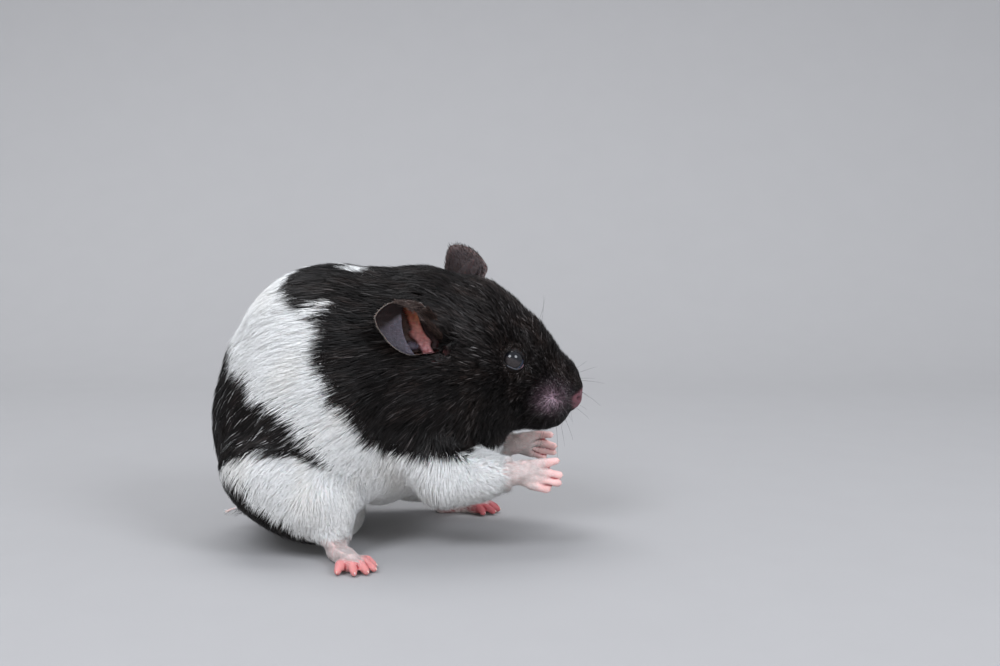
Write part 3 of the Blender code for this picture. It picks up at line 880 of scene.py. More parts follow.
def lie_of_hair(points, normals):
    """Unit ways that the hair lies at points: nose to tail, down the flanks and along the limbs."""
    head = in_head(points)
    on_head = smoothstep(-47, -33, head[:, 0])
    x, y, z = points.T
    # Body: backwards, and steeper down towards the rump and belly.
    fall = np.maximum(
        np.clip(5 + (-x - 12) * 1.3 + (50 - z) * 1.0, 0, 78),
        np.interp(z, [12, 28, 40, 55, 70], [62, 38, 28, 10, 0]),
    )
    fall = np.radians(fall)
    body = np.stack([-np.cos(fall), np.zeros_like(x), -np.sin(fall)], axis=1)
    # Head: back from the nose, sinking over the cheeks.
    sink = np.interp(head[:, 2], [-14, -8, 0, 6, 12], [52, 46, 30, 10, 0]) * smoothstep(-5, -20, head[:, 0])
    sink = np.radians(sink)[:, None]
    face = -HEAD_FORWARD * np.cos(sink) - HEAD_UP * np.sin(sink)
    radial = unit(points - NOSE)
    face = mix(face, radial, 0.5 * smoothstep(-24, -6, head[:, 0]))
    for side in (RIGHT, LEFT):
        away = points - from_head(np.array(PAD_AT) * (1, side, 1))
        round_pad = np.exp(-((np.linalg.norm(away, axis=1) / 5.0) ** 2))
        round_pad *= smoothstep(0.5, -0.5, head[:, 0] + 2.6)
        face = mix(unit(face), unit(away), 0.95 * round_pad)
    for side, middle in EYES.items():
        # Hairs part in front of an eye and pass round it.
        away = points - middle
        distance = np.linalg.norm(away, axis=1)
        out = unit(away)
        against = np.sum(face * out, axis=1)
        face = face - out * ((against - 0.25) * 1.05 * smoothstep(7.0, 4.2, distance))[:, None]
    way = mix(body, unit(face), on_head)
    # Fore legs: down at the elbow, out to the wrist. Hind legs: down to the ankle.
    for limb in FORE_LIMBS:
        out = np.interp(x, [4, 13, 21, 29], [-0.55, 0.0, 0.6, 1.0])
        arm = np.stack([out, 0 * x, -(1.15 - np.abs(out))], axis=1)
        way = mix(way, unit(arm), limb_share(points, limb))
    for limb in HIND_LIMBS:
        _, left = along_limb(points, limb)
        shank = np.stack([0.12 + 0 * x, 0 * x, -1 + 0 * x], axis=1)
        way = mix(way, shank, limb_share(points, limb, 1.25) * smoothstep(17, 7, left))
    for end in PAW_ENDS:
        to_end = end - points
        way = mix(way, unit(to_end), smoothstep(15, 9, np.linalg.norm(to_end, axis=1)))
    way = way - normals * np.sum(way * normals, axis=1)[:, None]
    return unit(way)


# A tuft's length, in millimetres, by the distance back from the nose.
HAIR_LENGTHS = [(0, 0.8), (6, 1.3), (14, 2.0), (22, 2.9), (32, 4.2), (46, 6.4)]
LONGEST_TUFT = 6.8
# Shares of all tufts that lead a lock, stray from the coat or stand on edge, and how far they are rolled.
LEADER_SHARE, STRAY_SHARE, EDGE_SHARE = 0.06, 0.05, 0.4
EDGE_ROLL, FLAT_ROLL = 55.0, 12.0
# Shares of tufts that are white hairs astray in the rump's black, and that glint in the black.
ASTRAY_SHARE, GLINT_SHARE = 0.025, 0.13
# A tuft's width by its length, in millimetres, and the tone from which it counts as white.
TUFT_WIDTHS = [(0.6, 0.075), (1.5, 0.10), (3.0, 0.125), (6.0, 0.15)]
PALE_FROM = 0.15


def hair_length(points):
    """Length of a tuft, in millimetres."""
    head = in_head(points)
    length = curve(-head[:, 0], HAIR_LENGTHS)
    length += 1.4 * smoothstep(-4, -12, head[:, 2]) * smoothstep(-14, -26, head[:, 0])
    length = np.minimum(length, LONGEST_TUFT)
    for limb in LIMBS:
        share, left = along_limb(points, limb)
        on = smoothstep(1.5, 1.1, share)
        length = length * (1 - on) + np.minimum(length, 1.6 + 0.22 * left) * on
    length = np.minimum(length, 0.45 + 0.17 * to_toes(points))
    length = np.minimum(length, 1.2 + 0.5 * to_tail_tip(points))
    for middle in EYES.values():
        length = np.minimum(length, np.maximum(0.6 * (np.linalg.norm(points - middle, axis=1) - 2.6), 0.55))
    return length


def nose_leather(head):
    """1 on the bare nose, 0 away from it, at points in the head's own frame."""
    x, y, z = head.T
    rear = -2.3 + 0.31 * (0.6 - z)
    top, foot = smoothstep(1.6, 0.4, z + 0.08 * y * y), smoothstep(-6.8, -5.4, z)
    return smoothstep(-0.7, 0.8, x - rear) * top * foot


def furred_share(points):
    """1 where the coat is full, down to 0 on bare skin."""
    head = in_head(points)
    share = 1 + paw_share(points) * (1.2 * smoothstep(2.2, 6.5, to_toes(points)) - 1)
    share *= 1 - nose_leather(head)
    share *= 1 - 0.75 * ear_notch(points)
    for side in (RIGHT, LEFT):
        share *= 1 - 0.35 * muzzle_pad(head, side)
    for side, middle in EYES.items():
        away = points - middle
        share *= 1 - (in_opening(away, side, 2.0) & (np.linalg.norm(away, axis=1) < EYE_RADIUS + 0.4))
    share *= smoothstep(2.5, 6.5, to_tail_tip(points)) * 0.8 + 0.2
    return share


def unwrapped(mesh):
    """UVs of a coarse copy of the skin, to look up a root's place on it."""
    coarse = place("unwrap", mesh.copy())
    thin = coarse.modifiers.new("thin", "DECIMATE")
    thin.ratio = UNWRAP_FACES / len(mesh.polygons)
    light = evaluated(coarse)
    bpy.data.objects.remove(coarse)
    flat = place("unwrap", light)
    bpy.context.view_layer.objects.active = flat
    flat.select_set(True)
    bpy.ops.object.mode_set(mode="EDIT")
    bpy.ops.mesh.select_all(action="SELECT")
    bpy.ops.uv.smart_project(angle_limit=math.radians(75), island_margin=0.004)
    bpy.ops.object.mode_set(mode="OBJECT")
    points, corners = vertices_of(light), triangles_of(light)
    loops = np.empty(len(light.loop_triangles) * 3, np.int32)
    light.loop_triangles.foreach_get("loops", loops)
    uv = np.empty(len(light.loops) * 2)
    light.uv_layers.active.data.foreach_get("uv", uv)
    uv = uv.reshape(-1, 2)[loops.reshape(-1, 3)]
    bpy.data.objects.remove(flat)
    return surface_tree(points, corners), points[corners], uv


def uv_at(points, unwrap):
    """Places on the unwrap of the skin, for the points of it nearest to these."""
    tree, corners, uv = unwrap
    found = np.array([tree.find_nearest(Vector(p))[2] for p in points])
    a, b, c = corners[found].transpose(1, 0, 2)
    e1, e2, e3 = b - a, c - a, points - a
    d11, d12, d22 = (e1 * e1).sum(1), (e1 * e2).sum(1), (e2 * e2).sum(1)
    d31, d32 = (e3 * e1).sum(1), (e3 * e2).sum(1)
    low = np.maximum(d11 * d22 - d12 * d12, 1e-12)
    v, w = (d22 * d31 - d12 * d32) / low, (d11 * d32 - d12 * d31) / low
    weights = np.clip(np.stack([1 - v - w, v, w], axis=1), 0, 1)
    weights /= weights.sum(1, keepdims=True)
    return np.einsum("ij,ijk->ik", weights, uv[found])


def sampled_roots(mesh, count, density):
    """Random places on the skin, more of them where density is higher: points and normals."""
    points, corners = vertices_of(mesh), triangles_of(mesh)
    normals = normals_of(mesh)
    a, b, c = (points[corners[:, i]] for i in range(3))
    area = np.linalg.norm(np.cross(b - a, c - a), axis=1) / 2
    weight = area * density((a + b + c) / 3)
    chosen = DRAWN.choice(len(corners), size=count, p=weight / weight.sum())
    r, s = DRAWN.random(count), DRAWN.random(count)
    r, s = np.where(r + s > 1, 1 - r, r), np.where(r + s > 1, 1 - s, s)
    root = a[chosen] + (b - a)[chosen] * r[:, None] + (c - a)[chosen] * s[:, None]
    n = normals[corners[chosen]]
    return root, unit(n[:, 0] * (1 - r - s)[:, None] + n[:, 1] * r[:, None] + n[:, 2] * s[:, None])


def onto(tree, points):
    """The nearest places on the skin, with its normals there."""
    found = [tree.find_nearest(Vector(p)) for p in points]
    return np.array([f[0] for f in found]), np.array([f[1] for f in found])


# A tuft is a flat ribbon with a keel: a ring at its root and one at its bend, each with two corners above
# and one below, and then its tip.
RING = np.radians([30.0, 150.0, 270.0])
RING_WIDTH = 2 * math.cos(RING[0])
TUFT_HEIGHT = 0.4
TUFT_FACES = np.array(
    [
        [0, 1, 2],
        [4, 1, 0],
        [3, 4, 0],
        [5, 2, 1],
        [4, 5, 1],
        [3, 0, 2],
        [5, 3, 2],
        [6, 4, 3],
        [6, 5, 4],
        [6, 3, 5],
    ]
)
TUFT_PATCH = np.array([[0.0, 0.0], [0.5, -0.2], [1.0, 0.0], [0.1, 0.5], [0.5, 0.42], [0.9, 0.5], [0.5, 1.0]])


def tuft_shapes(root, mid, tip, normals, wide, degrees):
    """Closed ribbons that bend once and are rolled by degrees: seven points each, and what shades them."""
    first, second = unit(mid - root), unit(tip - mid)
    roll = np.radians(degrees)[:, None]
    points, shading = [], []
    ends = ((root, first, normals[0], 1.0), (mid, unit(first + second), normals[1], 0.8))
    for centre, way, normal, share in ends:
        flat_side = unit(np.cross(way, normal))
        flat_up = np.cross(flat_side, way)
        side = flat_side * np.cos(roll) + flat_up * np.sin(roll)
        up = flat_up * np.cos(roll) - flat_side * np.sin(roll)
        for turned in RING:
            across, above = math.cos(turned), math.sin(turned)
            corner = side * across + up * above * TUFT_HEIGHT
            points.append(centre + corner * (wide * share / RING_WIDTH)[:, None])
            shading.append(unit(flat_up + side * across * 0.45))
    points.append(tip)
    shading.append(unit(normals[2]))
    return np.stack(points, axis=1), np.stack(shading, axis=1)


def shades_along(base, foot, end):
    """Colours of a tuft's seven points: its root's by foot, its bend's as they are and its tip's by end."""
    return np.stack([base * foot] * 3 + [base] * 3 + [base * end], axis=1)


def tuft_density(points):
    """How densely tufts grow: short hair needs more of them."""
    length = hair_length(points)
    return furred_share(points) * (0.2 + (3.6 / np.maximum(length, 1.0)) ** 1.15)


def clear_of_eyes_and_ears(root, mid, tip):
    """Which tufts leave the eyes' openings and the ears' insides free."""
    count = len(root)
    clear = np.ones(count, bool)
    for side, middle in EYES.items():
        for part in (mid, tip):
            away = part - middle
            distance = np.linalg.norm(away, axis=1)
            clear &= (distance > EYE_RADIUS + 0.4) | ~in_opening(away, side, 1.5)
            clear &= (distance > EYE_RADIUS + 3.0) | ~in_opening(away, side, -12.0)
            clear &= distance > EYE_RADIUS - 0.1
    for sheet in EAR_SHEETS.values():
        nearest = tree_of(sheet["inside"])
        open_at = (sheet["rise"] > hair_front(sheet["q"]) + 0.02) & (sheet["edge"] < 0.99)
        spared = DRAWN.random(count) < 0.02
        for part in (root, mid, tip):
            close = np.flatnonzero(np.linalg.norm(part - sheet["inside"].mean(0), axis=1) < 14)
            found = [nearest.find(Vector(part[i])) for i in close]
            off = part[close] - np.array([f[0] for f in found])
            inside = (off @ sheet["front"] > -0.1) & (np.linalg.norm(off, axis=1) < 2.6)
            inside &= open_at[[f[1] for f in found]]
            clear[close] &= ~inside | spared[close]
    return clear


def coat(skin):
    """All tufts as points, shading normals, colours and roots."""
    tree = surface_tree(vertices_of(skin), triangles_of(skin))
    root, normal = sampled_roots(skin, TUFTS, tuft_density)
    count = len(root)
    length = hair_length(root) * DRAWN.uniform(0.7, 1.25, count)
    depth = np.minimum(coat_depth(root), DEEPEST_COAT)
    way = lie_of_hair(root, normal)
    # Locks: hairs near one another lean towards a shared line, least on the face.
    seeds = np.flatnonzero(DRAWN.random(count) < LEADER_SHARE)
    seed_tree = tree_of(root[seeds])
    lock = seeds[np.array([seed_tree.find(Vector(p))[1] for p in root])]
    shaggy = smoothstep(2.0, 6.0, length)
    sway = noise(root, 9.0, 21) * 0.06 + DRAWN.normal(size=count) * (0.15 - 0.05 * shaggy)
    sway += DRAWN.normal(size=count)[lock] * 0.06 * shaggy
    # A few stray hairs leave the coat.
    stray = DRAWN.random(count) < STRAY_SHARE
    sway += stray * DRAWN.normal(size=count) * 0.3
    way = unit(way + np.cross(normal, way) * sway[:, None])
    # Heights above the skin of a hair's middle and tip: the top hairs fill the coat's depth.
    layer = DRAWN.beta(3.0, 1.2, count)
    stand = 1.0 + (0.04 + 0.05 * shaggy) * np.clip(DRAWN.normal(size=count)[lock], -1, 2)
    on_face = smoothstep(-40, -24, in_head(root)[:, 0])
    fuzz = 0.12 + 0.10 * on_face + (0.40 + 0.50 * on_face) * DRAWN.random(count) ** 1.5
    fuzz *= smoothstep(0.02, 0.3, depth)
    fuzz += stray * (0.25 + 0.45 * DRAWN.random(count)) * smoothstep(0.05, 0.8, depth)
    high_mid = depth * (0.52 + 0.44 * layer) + 0.07 + 0.35 * fuzz
    high_tip = depth * np.clip((0.56 + 0.52 * layer) * stand, 0.15, 1.2) + 0.06 + fuzz
    mid_on, mid_normal = onto(tree, root + way * (length * 0.5)[:, None])
    mid = mid_on + mid_normal * high_mid[:, None]
    tip_on, tip_normal = onto(tree, mid_on + unit(mid_on - root) * (length * 0.5)[:, None])
    tip = tip_on + tip_normal * high_tip[:, None]
    pull = (0.05 + 0.16 * shaggy) * DRAWN.random(count)
    tip = mix(tip, root + (tip[lock] - root[lock]) + (root[lock] - root) * 0.9, pull)
    root = root - normal * 0.12
    clear = clear_of_eyes_and_ears(root, mid, tip)
    clear &= (mid[:, 2] > 0.05) & (root[:, 2] > 0.1)
    tip[:, 2] = np.maximum(tip[:, 2], 0.08)
    wide = curve(length, TUFT_WIDTHS) * DRAWN.uniform(0.75, 1.25, count)
    wide = np.where(stray, wide * 0.7, wide)
    # Black hairs show as strands of a few hairs each.
    colours = tuft_colours(root, mid, tip, lock)
    tone = colours[:, 3].mean(axis=1)
    wide = np.where(tone < PALE_FROM, wide * np.where(tone > 0.012, 2.0, 1.5), wide)
    # Some tufts stand on edge, which shows them along the outline.
    on_edge = DRAWN.random(count) < EDGE_SHARE
    rolled = DRAWN.normal(size=count) * np.where(on_edge, EDGE_ROLL, FLAT_ROLL)
    shapes = tuft_shapes(root, mid, tip, (normal, mid_normal, tip_normal), wide, rolled)
    return [rows[clear] for rows in (*shapes, colours, root)]


def ear_hair(name):
    """Short hairs on an ear's front edge, back and rim, and thinly inside it, as coat() gives them."""
    sheet = EAR_SHEETS[name]
    rise, q, edge = sheet["rise"], sheet["q"], sheet["edge"]
    hairy = rise < hair_front(q) + 0.01
    top_edge = hairy & (q < -0.38) & (rise > 0.38)
    folds = ear_folds(rise, q)
    flap = (folds["flap"] > 0.5) & (folds["shadow"] < 0.1)
    # Where each kind grows, how many, its length and lift in millimetres, its way and its colour.
    back_way = sheet["axis"] + (0, 0, 0.25)
    front_way = unit(np.array([-0.80, 0.0, 0.60]))
    kinds = (
        ("inside", hairy & ~top_edge & (edge < 0.99), 4200, 2.3, 0.5, front_way, 0x241B18, 0.8),
        ("inside", top_edge, 1300, 1.5, 0.3, unit(np.array([-1.0, 0.0, 0.1])), 0x453B38, 0.5),
        ("outside", rise > 0.15, 3000, 1.1, 0.14, back_way, 0x2C2525, 0.5),
        ("inside", (edge > 0.985) & (rise > 0.4), 300, 0.5, 0.08, sheet["axis"], 0x6E6660, 0.2),
        ("inside", flap & (edge < 0.93), 200, 0.5, 0.06, sheet["axis"], 0x504C54, 0.3),
    )
    share = 1.0
    rows = []
    for face, where, number, length, lift, way, code, spread in kinds:
        places = np.flatnonzero(where)
        chosen = places[DRAWN.integers(0, len(places), round(number * share))]
        count = len(chosen)
        normal = np.broadcast_to(sheet["front"] * (1 if face == "inside" else -1), (count, 3))
        root = sheet[face][chosen] + DRAWN.normal(size=(count, 3)) * 0.06
        run = way - normal * np.sum(way * normal, axis=1)[:, None]
        run = unit(unit(run) + DRAWN.normal(size=(count, 3)) * 0.16)
        long = (length * DRAWN.uniform(0.65, 1.3, count))[:, None]
        high = (lift * DRAWN.uniform(0.4, 1.5, count))[:, None]
        mid = root + run * long * 0.5 + normal * high
        tip = root + run * long + normal * high * 1.1
        wide = np.interp(long[:, 0], [0.6, 2.5], [0.06, 0.10])
        points, shading = tuft_shapes(root - normal * 0.1, mid, tip, [normal] * 3, wide, np.zeros(count))
        tone = np.exp(DRAWN.normal(size=count) * spread)[:, None]
        base = srgb(code) * tone
        # Darker roots and paler tips, a painted sheen.
        rows.append((points, shading, np.clip(shades_along(base, 0.7, 1.15), 0, 0.9), root))
    return [np.concatenate(parts) for parts in zip(*rows)]


def lid_hair(side):
    """Short hairs on the lids, lying away from the eye's opening, as coat() gives them."""
    count = 1600
    gaze, ahead, up = eye_axes(side)
    turns = DRAWN.uniform(0, 2 * math.pi, count)
    spoke = np.cos(turns)[:, None] * ahead + np.sin(turns)[:, None] * up
    angle = np.radians(half_opening(turns) + DRAWN.uniform(5.0, 42.0, count))[:, None]
    normal = np.cos(angle) * gaze + np.sin(angle) * spoke
    outward = np.cos(angle) * spoke - np.sin(angle) * gaze
    root = EYES[side] + normal * (EYE_RADIUS + 0.12)
    run = outward - HEAD_FORWARD * 0.45 + DRAWN.normal(size=(count, 3)) * 0.22
    run = unit(run - normal * np.sum(run * normal, axis=1)[:, None])
    long = DRAWN.uniform(0.55, 1.15, count)[:, None]
    lift = DRAWN.uniform(0.06, 0.30, count)[:, None]
    mid = root + run * long * 0.5 + normal * (0.05 + 0.6 * lift)
    tip = root + run * long + normal * lift
    rolled = DRAWN.normal(size=count) * 30.0
    wide = DRAWN.uniform(0.08, 0.14, count)
    points, shading = tuft_shapes(root - normal * 0.08, mid, tip, [normal] * 3, wide, rolled)
    base = mix(BLACK_HAIR, BROWN_HAIR, DRAWN.random(count) * 0.6)
    base = base * np.exp(DRAWN.normal(size=count) * 0.7)[:, None]
    # Some lid hairs carry a painted glint.
    base = base * np.where(DRAWN.random(count) < 0.15, 3.5, 1.3)[:, None]
    # Darker roots and paler tips, a painted sheen.
    return points, shading, shades_along(base, 0.7, 1.3), root


def tuft_colours(root, mid, tip, lock):
    """Linear colours of each tuft's seven points."""
    count = len(root)
    jitter = DRAWN.normal(size=count) * 0.32 + DRAWN.normal(size=count)[lock] * 0.32
    base, black = coat_colours(mid, jitter)
    # White hairs that stray over the black of the rump.
    on_rump = (root[:, 0] < -14) & (root[:, 2] > 24) & (root[:, 2] < 56)
    astray = (DRAWN.random(count) < ASTRAY_SHARE) & on_rump
    base = np.where(astray[:, None], WHITE_HAIR * 0.8, base)
    dark = black > 0.5
    head = in_head(root)
    # Dark hairs of the crown and nose are painted lighter than the cheeks' and body's: a painted sheen from
    # above.
    crown_sheen = smoothstep(-44, -30, head[:, 0]) * smoothstep(0, 7, head[:, 2])
    tone_black = np.exp(DRAWN.normal(size=count) * 0.62 + DRAWN.normal(size=count)[lock] * 0.12)
    tone_white = 1 - np.abs(DRAWN.normal(size=count)) * 0.03 - np.abs(DRAWN.normal(size=count)[lock]) * 0.012
    tone = np.where(dark, tone_black * (1 + 0.9 * crown_sheen), tone_white)
    on_face = smoothstep(-34, -20, head[:, 0])
    glint = (DRAWN.random(count) < GLINT_SHARE + 0.05 * on_face) & dark
    glint &= np.maximum(muzzle_pad(head, RIGHT), muzzle_pad(head, LEFT)) < 0.25
    tone = np.where(glint, tone * (3.6 + 1.6 * on_face), tone)
    # Gloss hides a hair's own brown.
    grey = base.mean(axis=1, keepdims=True) * (1.0, 0.98, 0.99)
    base = np.where(glint[:, None], 0.3 * base + 0.7 * grey, base) * tone[:, None]
    # Dark tufts are darker at the root and paler at the tip, a painted sheen.
    foot = np.where(dark, 0.6, 0.98)[:, None]
    end = np.where(dark, 1.35, 1.0)[:, None]
    return np.clip(shades_along(base, foot, end), 0, 0.95)


def coat_pieces(name, points, shading, colours, roots, unwrap, finish):
    """Objects of solid tufts, from the nose back, each with its own bake map."""
    order = np.argsort(-roots[:, 0], kind="stable")
    made = []
    for number, start in enumerate(range(0, len(order), TUFTS_PER_PIECE), 1):
        chosen = order[start : start + TUFTS_PER_PIECE]
        count = len(chosen)
        faces = (TUFT_FACES[None] + 7 * np.arange(count)[:, None, None]).reshape(-1, 3)
        mesh = mesh_from(f"{name}_{number}", points[chosen].reshape(-1, 3), faces)
        mesh.normals_split_custom_set_from_vertices(shading[chosen].reshape(-1, 3).tolist())
        set_tint(mesh, colours[chosen].reshape(-1, 3))
        uv = uv_at(roots[chosen], unwrap)[:, None] + TUFT_PATCH[None] * BAKE_PATCH
        layer = mesh.uv_layers.new(name="OFBake")
        layer.data.foreach_set("uv", uv.reshape(-1, 2)[faces.ravel()].ravel())
        mesh.materials.append(finish)
        made.append(place(f"{name}_{number}", mesh))
    return made


# ---------------------------------------------------------------- materials


def add(tree, kind, inputs=(), **settings):
    """A node with its settings, and its inputs as values or links."""
    made = tree.nodes.new(kind)
    for key, value in settings.items():
        setattr(made, key, value)
    for key, value in dict(inputs).items():
        if isinstance(value, bpy.types.NodeSocket):
            tree.links.new(value, made.inputs[key])
        else:
            made.inputs[key].default_value = value
    return made


def material(name):
    """An empty material and its node tree."""
    made = bpy.data.materials.new(name)
    made.use_nodes = True
    made.node_tree.nodes.clear()
    return made, made.node_tree


def rgba(colour):
    return (*[float(c) for c in colour], 1.0)


def per_size(millimetres):
    """A pattern's scale, from the real size of what repeats in it."""
    return 1.0 / (millimetres * MM)


def mottled_tint(tree, millimetres, detail, low, high):
    """The piece's own tint, made darker and lighter between low and high by patches of this size."""
    tint = add(tree, "ShaderNodeAttribute", attribute_name="tint", attribute_type="GEOMETRY")
    at = add(tree, "ShaderNodeTexCoord").outputs["Object"]
    patches = {"Vector": at, "Scale": per_size(millimetres), "Detail": detail}
    share = add(tree, "ShaderNodeTexNoise", patches).outputs["Fac"]
    span = {"Value": share, "From Min": 0.3, "From Max": 0.7, "To Min": low, "To Max": high}
    gain = add(tree, "ShaderNodeMapRange", span).outputs[0]
    scaled = {0: tint.outputs["Color"], "Scale": gain}
    return add(tree, "ShaderNodeVectorMath", scaled, operation="SCALE").outputs[0]


def streaks(tree, millimetres, detail, dark, light):
    """Streaks of this size that run from a dark linear colour to a light one."""
    at = add(tree, "ShaderNodeTexCoord").outputs["Object"]
    patches = {"Vector": at, "Scale": per_size(millimetres), "Detail": detail}
    share = add(tree, "ShaderNodeTexNoise", patches).outputs["Fac"]
    ramp = add(tree, "ShaderNodeValToRGB", {"Fac": share})
    ramp.color_ramp.elements[0].color = rgba(dark)
    ramp.color_ramp.elements[1].color = rgba(light)
    return ramp.outputs["Color"]


def keratin_hair(name, gloss, glow):
    """Guard hair: keratin, IOR 1.55, with a soft streak of gloss. Light enters white hair, not black."""
    made, tree = material(name)
    # Bands along the hairs, 0.8 mm long.
    colour = mottled_tint(tree, 0.8, 2.0, 0.86, 1.1)
    hair = {
        "Base Color": colour,
        "Roughness": 0.40,
        "IOR": 1.55,
        "Specular IOR Level": gloss,
        "Subsurface Weight": glow,
        "Subsurface Radius": (1.0, 1.0, 1.0),
        "Subsurface Scale": 0.4 * MM,
    }
    shader = add(tree, "ShaderNodeBsdfPrincipled", hair)
    add(tree, "ShaderNodeOutputMaterial", {"Surface": shader.outputs[0]})
    return made


def thin_skin():
    """Bare skin: thin and moist, IOR 1.4, with fine creases and light that sinks in."""
    made, tree = material("thin_skin")
    # Blotches of blood under the skin, 3 mm across.
    colour = mottled_tint(tree, 3.03, 3.0, 0.88, 1.1)
    # Pores, drawn 0.385 mm apart, which is coarser than real ones, so that they show.
    at = add(tree, "ShaderNodeTexCoord").outputs["Object"]
    pores = add(tree, "ShaderNodeTexVoronoi", {"Vector": at, "Scale": per_size(0.385)})
    pits = {"Height": pores.outputs["Distance"], "Strength": 0.35, "Distance": 0.1 * MM}
    relief = add(tree, "ShaderNodeBump", pits)
    flesh = {
        "Base Color": colour,
        "Roughness": 0.5,
        "IOR": 1.4,
        "Specular IOR Level": 0.16,
        "Subsurface Weight": 0.25,
        "Subsurface Radius": (0.9, 0.35, 0.25),
        "Subsurface Scale": 1.0 * MM,
        "Normal": relief.outputs[0],
    }
    shader = add(tree, "ShaderNodeBsdfPrincipled", flesh)
    add(tree, "ShaderNodeOutputMaterial", {"Surface": shader.outputs[0]})
    return made


def wet_cornea():
    """The eyeball: dark, painted brown below as the floor's reflection, under a film of tears, IOR 1.38, for
    sharp highlights.
    """
    made, tree = material("wet_cornea")
    # Faint threads of the iris, 0.5 mm across.
    colour = mottled_tint(tree, 0.5, 1.0, 0.8, 1.2)
    ball = {
        "Base Color": colour,
        "Roughness": 0.35,
        "IOR": 1.38,
        "Specular IOR Level": 0.05,
        "Coat Weight": 1.0,
        "Coat Roughness": 0.03,
        "Coat IOR": 1.38,
    }
    shader = add(tree, "ShaderNodeBsdfPrincipled", ball)
    add(tree, "ShaderNodeOutputMaterial", {"Surface": shader.outputs[0]})
    return made


def claw_horn():
    """Claws: clear horn, IOR 1.54, smooth, over a pink quick that shows through."""
    made, tree = material("claw_horn")
    # Growth streaks, 1.1 mm apart.
    colour = streaks(tree, 1.11, 2.0, srgb(0xC79F99), srgb(0xDBC3BC))
    horn = {
        "Base Color": colour,
        "Roughness": 0.3,
        "IOR": 1.54,
        "Subsurface Weight": 0.3,
        "Subsurface Scale": 0.6 * MM,
    }
    shader = add(tree, "ShaderNodeBsdfPrincipled", horn)
    add(tree, "ShaderNodeOutputMaterial", {"Surface": shader.outputs[0]})
    return made


def whisker_hair():
    """Whiskers: thick single hairs of keratin, IOR 1.55, glossier than the coat."""
    made, tree = material("whisker_hair")
    # Paler and darker stretches, 2.5 mm long.
    colour = streaks(tree, 2.5, 2.0, srgb(0x221D1E), srgb(0x3A3334))
    shader = add(tree, "ShaderNodeBsdfPrincipled", {"Base Color": colour, "Roughness": 0.35, "IOR": 1.55})
    add(tree, "ShaderNodeOutputMaterial", {"Surface": shader.outputs[0]})
    return made


def matt_paper(code):
    """The studio sweep: matt uncoated paper, which gives soft even tone."""
    made, tree = material("sweep_paper")
    # Faint clouds in the pulp, 17 mm across.
    colour = streaks(tree, 16.67, 4.0, srgb(code) * 0.96, srgb(code))
    shader = add(tree, "ShaderNodeBsdfPrincipled", {"Base Color": colour, "Roughness": 0.8})
    add(tree, "ShaderNodeOutputMaterial", {"Surface": shader.outputs[0]})
    return made


# ---------------------------------------------------------------- small pieces


def tube_faces(rings, sides):
    """Triangles of a closed tube of rings, whose two end points come after them."""
    index = np.arange(rings * sides).reshape(rings, sides)
    after = np.roll(index, -1, axis=1)
    a, b, c, d = index[:-1], after[:-1], after[1:], index[1:]
    first = np.full(sides, rings * sides)
    faces = [np.stack([a, b, c], -1).reshape(-1, 3), np.stack([a, c, d], -1).reshape(-1, 3)]
    faces += [np.stack([first, after[0], index[0]], -1), np.stack([first + 1, index[-1], after[-1]], -1)]
    return np.vstack(faces)


def swept(line, radii, sides=8):
    """A closed tapered tube through points, as points and triangles."""
    line, radii = np.asarray(line, float), np.asarray(radii, float)
    ways = unit(np.gradient(line, axis=0))
    aside = unit(np.cross(ways, (0.13, 0.31, 0.94)))
    up = np.cross(aside, ways)
    turns = np.linspace(0, 2 * math.pi, sides, endpoint=False)
    ring = aside[:, None] * np.cos(turns)[None, :, None] + up[:, None] * np.sin(turns)[None, :, None]
    points = (line[:, None] + ring * radii[:, None, None]).reshape(-1, 3)
    points = np.vstack([points, line[0] - ways[0] * radii[0] * 0.3, line[-1] + ways[-1] * radii[-1]])
    return points, tube_faces(len(line), sides)


# A claw's middle line from the toe's tip, as (ahead, above), and its radii, in millimetres.
CLAW_LINE = ((-0.3, 0.2), (0.2, 0.34), (0.6, 0.26), (0.9, 0.05), (1.05, -0.2))
CLAW_RADII = (0.21, 0.22, 0.17, 0.10, 0.03)


def claws():
    """A short curved claw at the end of each toe."""
    parts = []
    for tip, way, up in (toe for tips in PAWS for toe in tips):
        line = [tip + way * ahead + up * above for ahead, above in CLAW_LINE]
        parts.append(swept(line, CLAW_RADII))
    return joined(parts)


# The ways that whiskers leave their pad, in degrees below forward: from forward and up to back and down.
WHISKER_TURNS = {RIGHT: np.linspace(-28, 132, 17), LEFT: np.linspace(-62, 128, 19)}


def whiskers():
    """Fine whiskers that fan out from each pad, and two short ones over each eye."""
    tubes = []
    for side in (RIGHT, LEFT):
        for number, degrees in enumerate(WHISKER_TURNS[side]):
            angle = math.radians(degrees + DRAWN.normal() * 4)
            spoke = np.array([math.cos(angle), 0.0, -math.sin(angle)])
            start = np.array(PAD_AT) * (1, side, 1) + spoke * (0.8 + 0.5 * (number % 3)) + (0, side * 0.35, 0)
            length = DRAWN.uniform(8.0, 15.0) if number % 3 else DRAWN.uniform(5.0, 8.0)
            steps = np.linspace(0, 1, 10)[:, None]
            spread = np.array([0.0, side * 0.42, 0.0])
            local = start + unit(spoke + spread) * length * steps
            local = local + np.array([-0.10, side * 0.05, -0.16]) * length * steps**2
            tubes.append(swept(from_head(local), np.linspace(0.055, 0.014, 10), sides=5))
        for number in range(2):
            start = np.array([-17.0 - number, side * 9.0, 10.6])
            way = unit(np.array([-0.1 + 0.2 * number, side * 0.55, 0.9]))
            steps = np.linspace(0, 1, 8)[:, None]
            local = start + way * 8.5 * steps + np.array([-1.5, 0, -0.4]) * steps**2
            tubes.append(swept(from_head(local), np.linspace(0.04, 0.012, 8), sides=5))
    return joined(tubes)


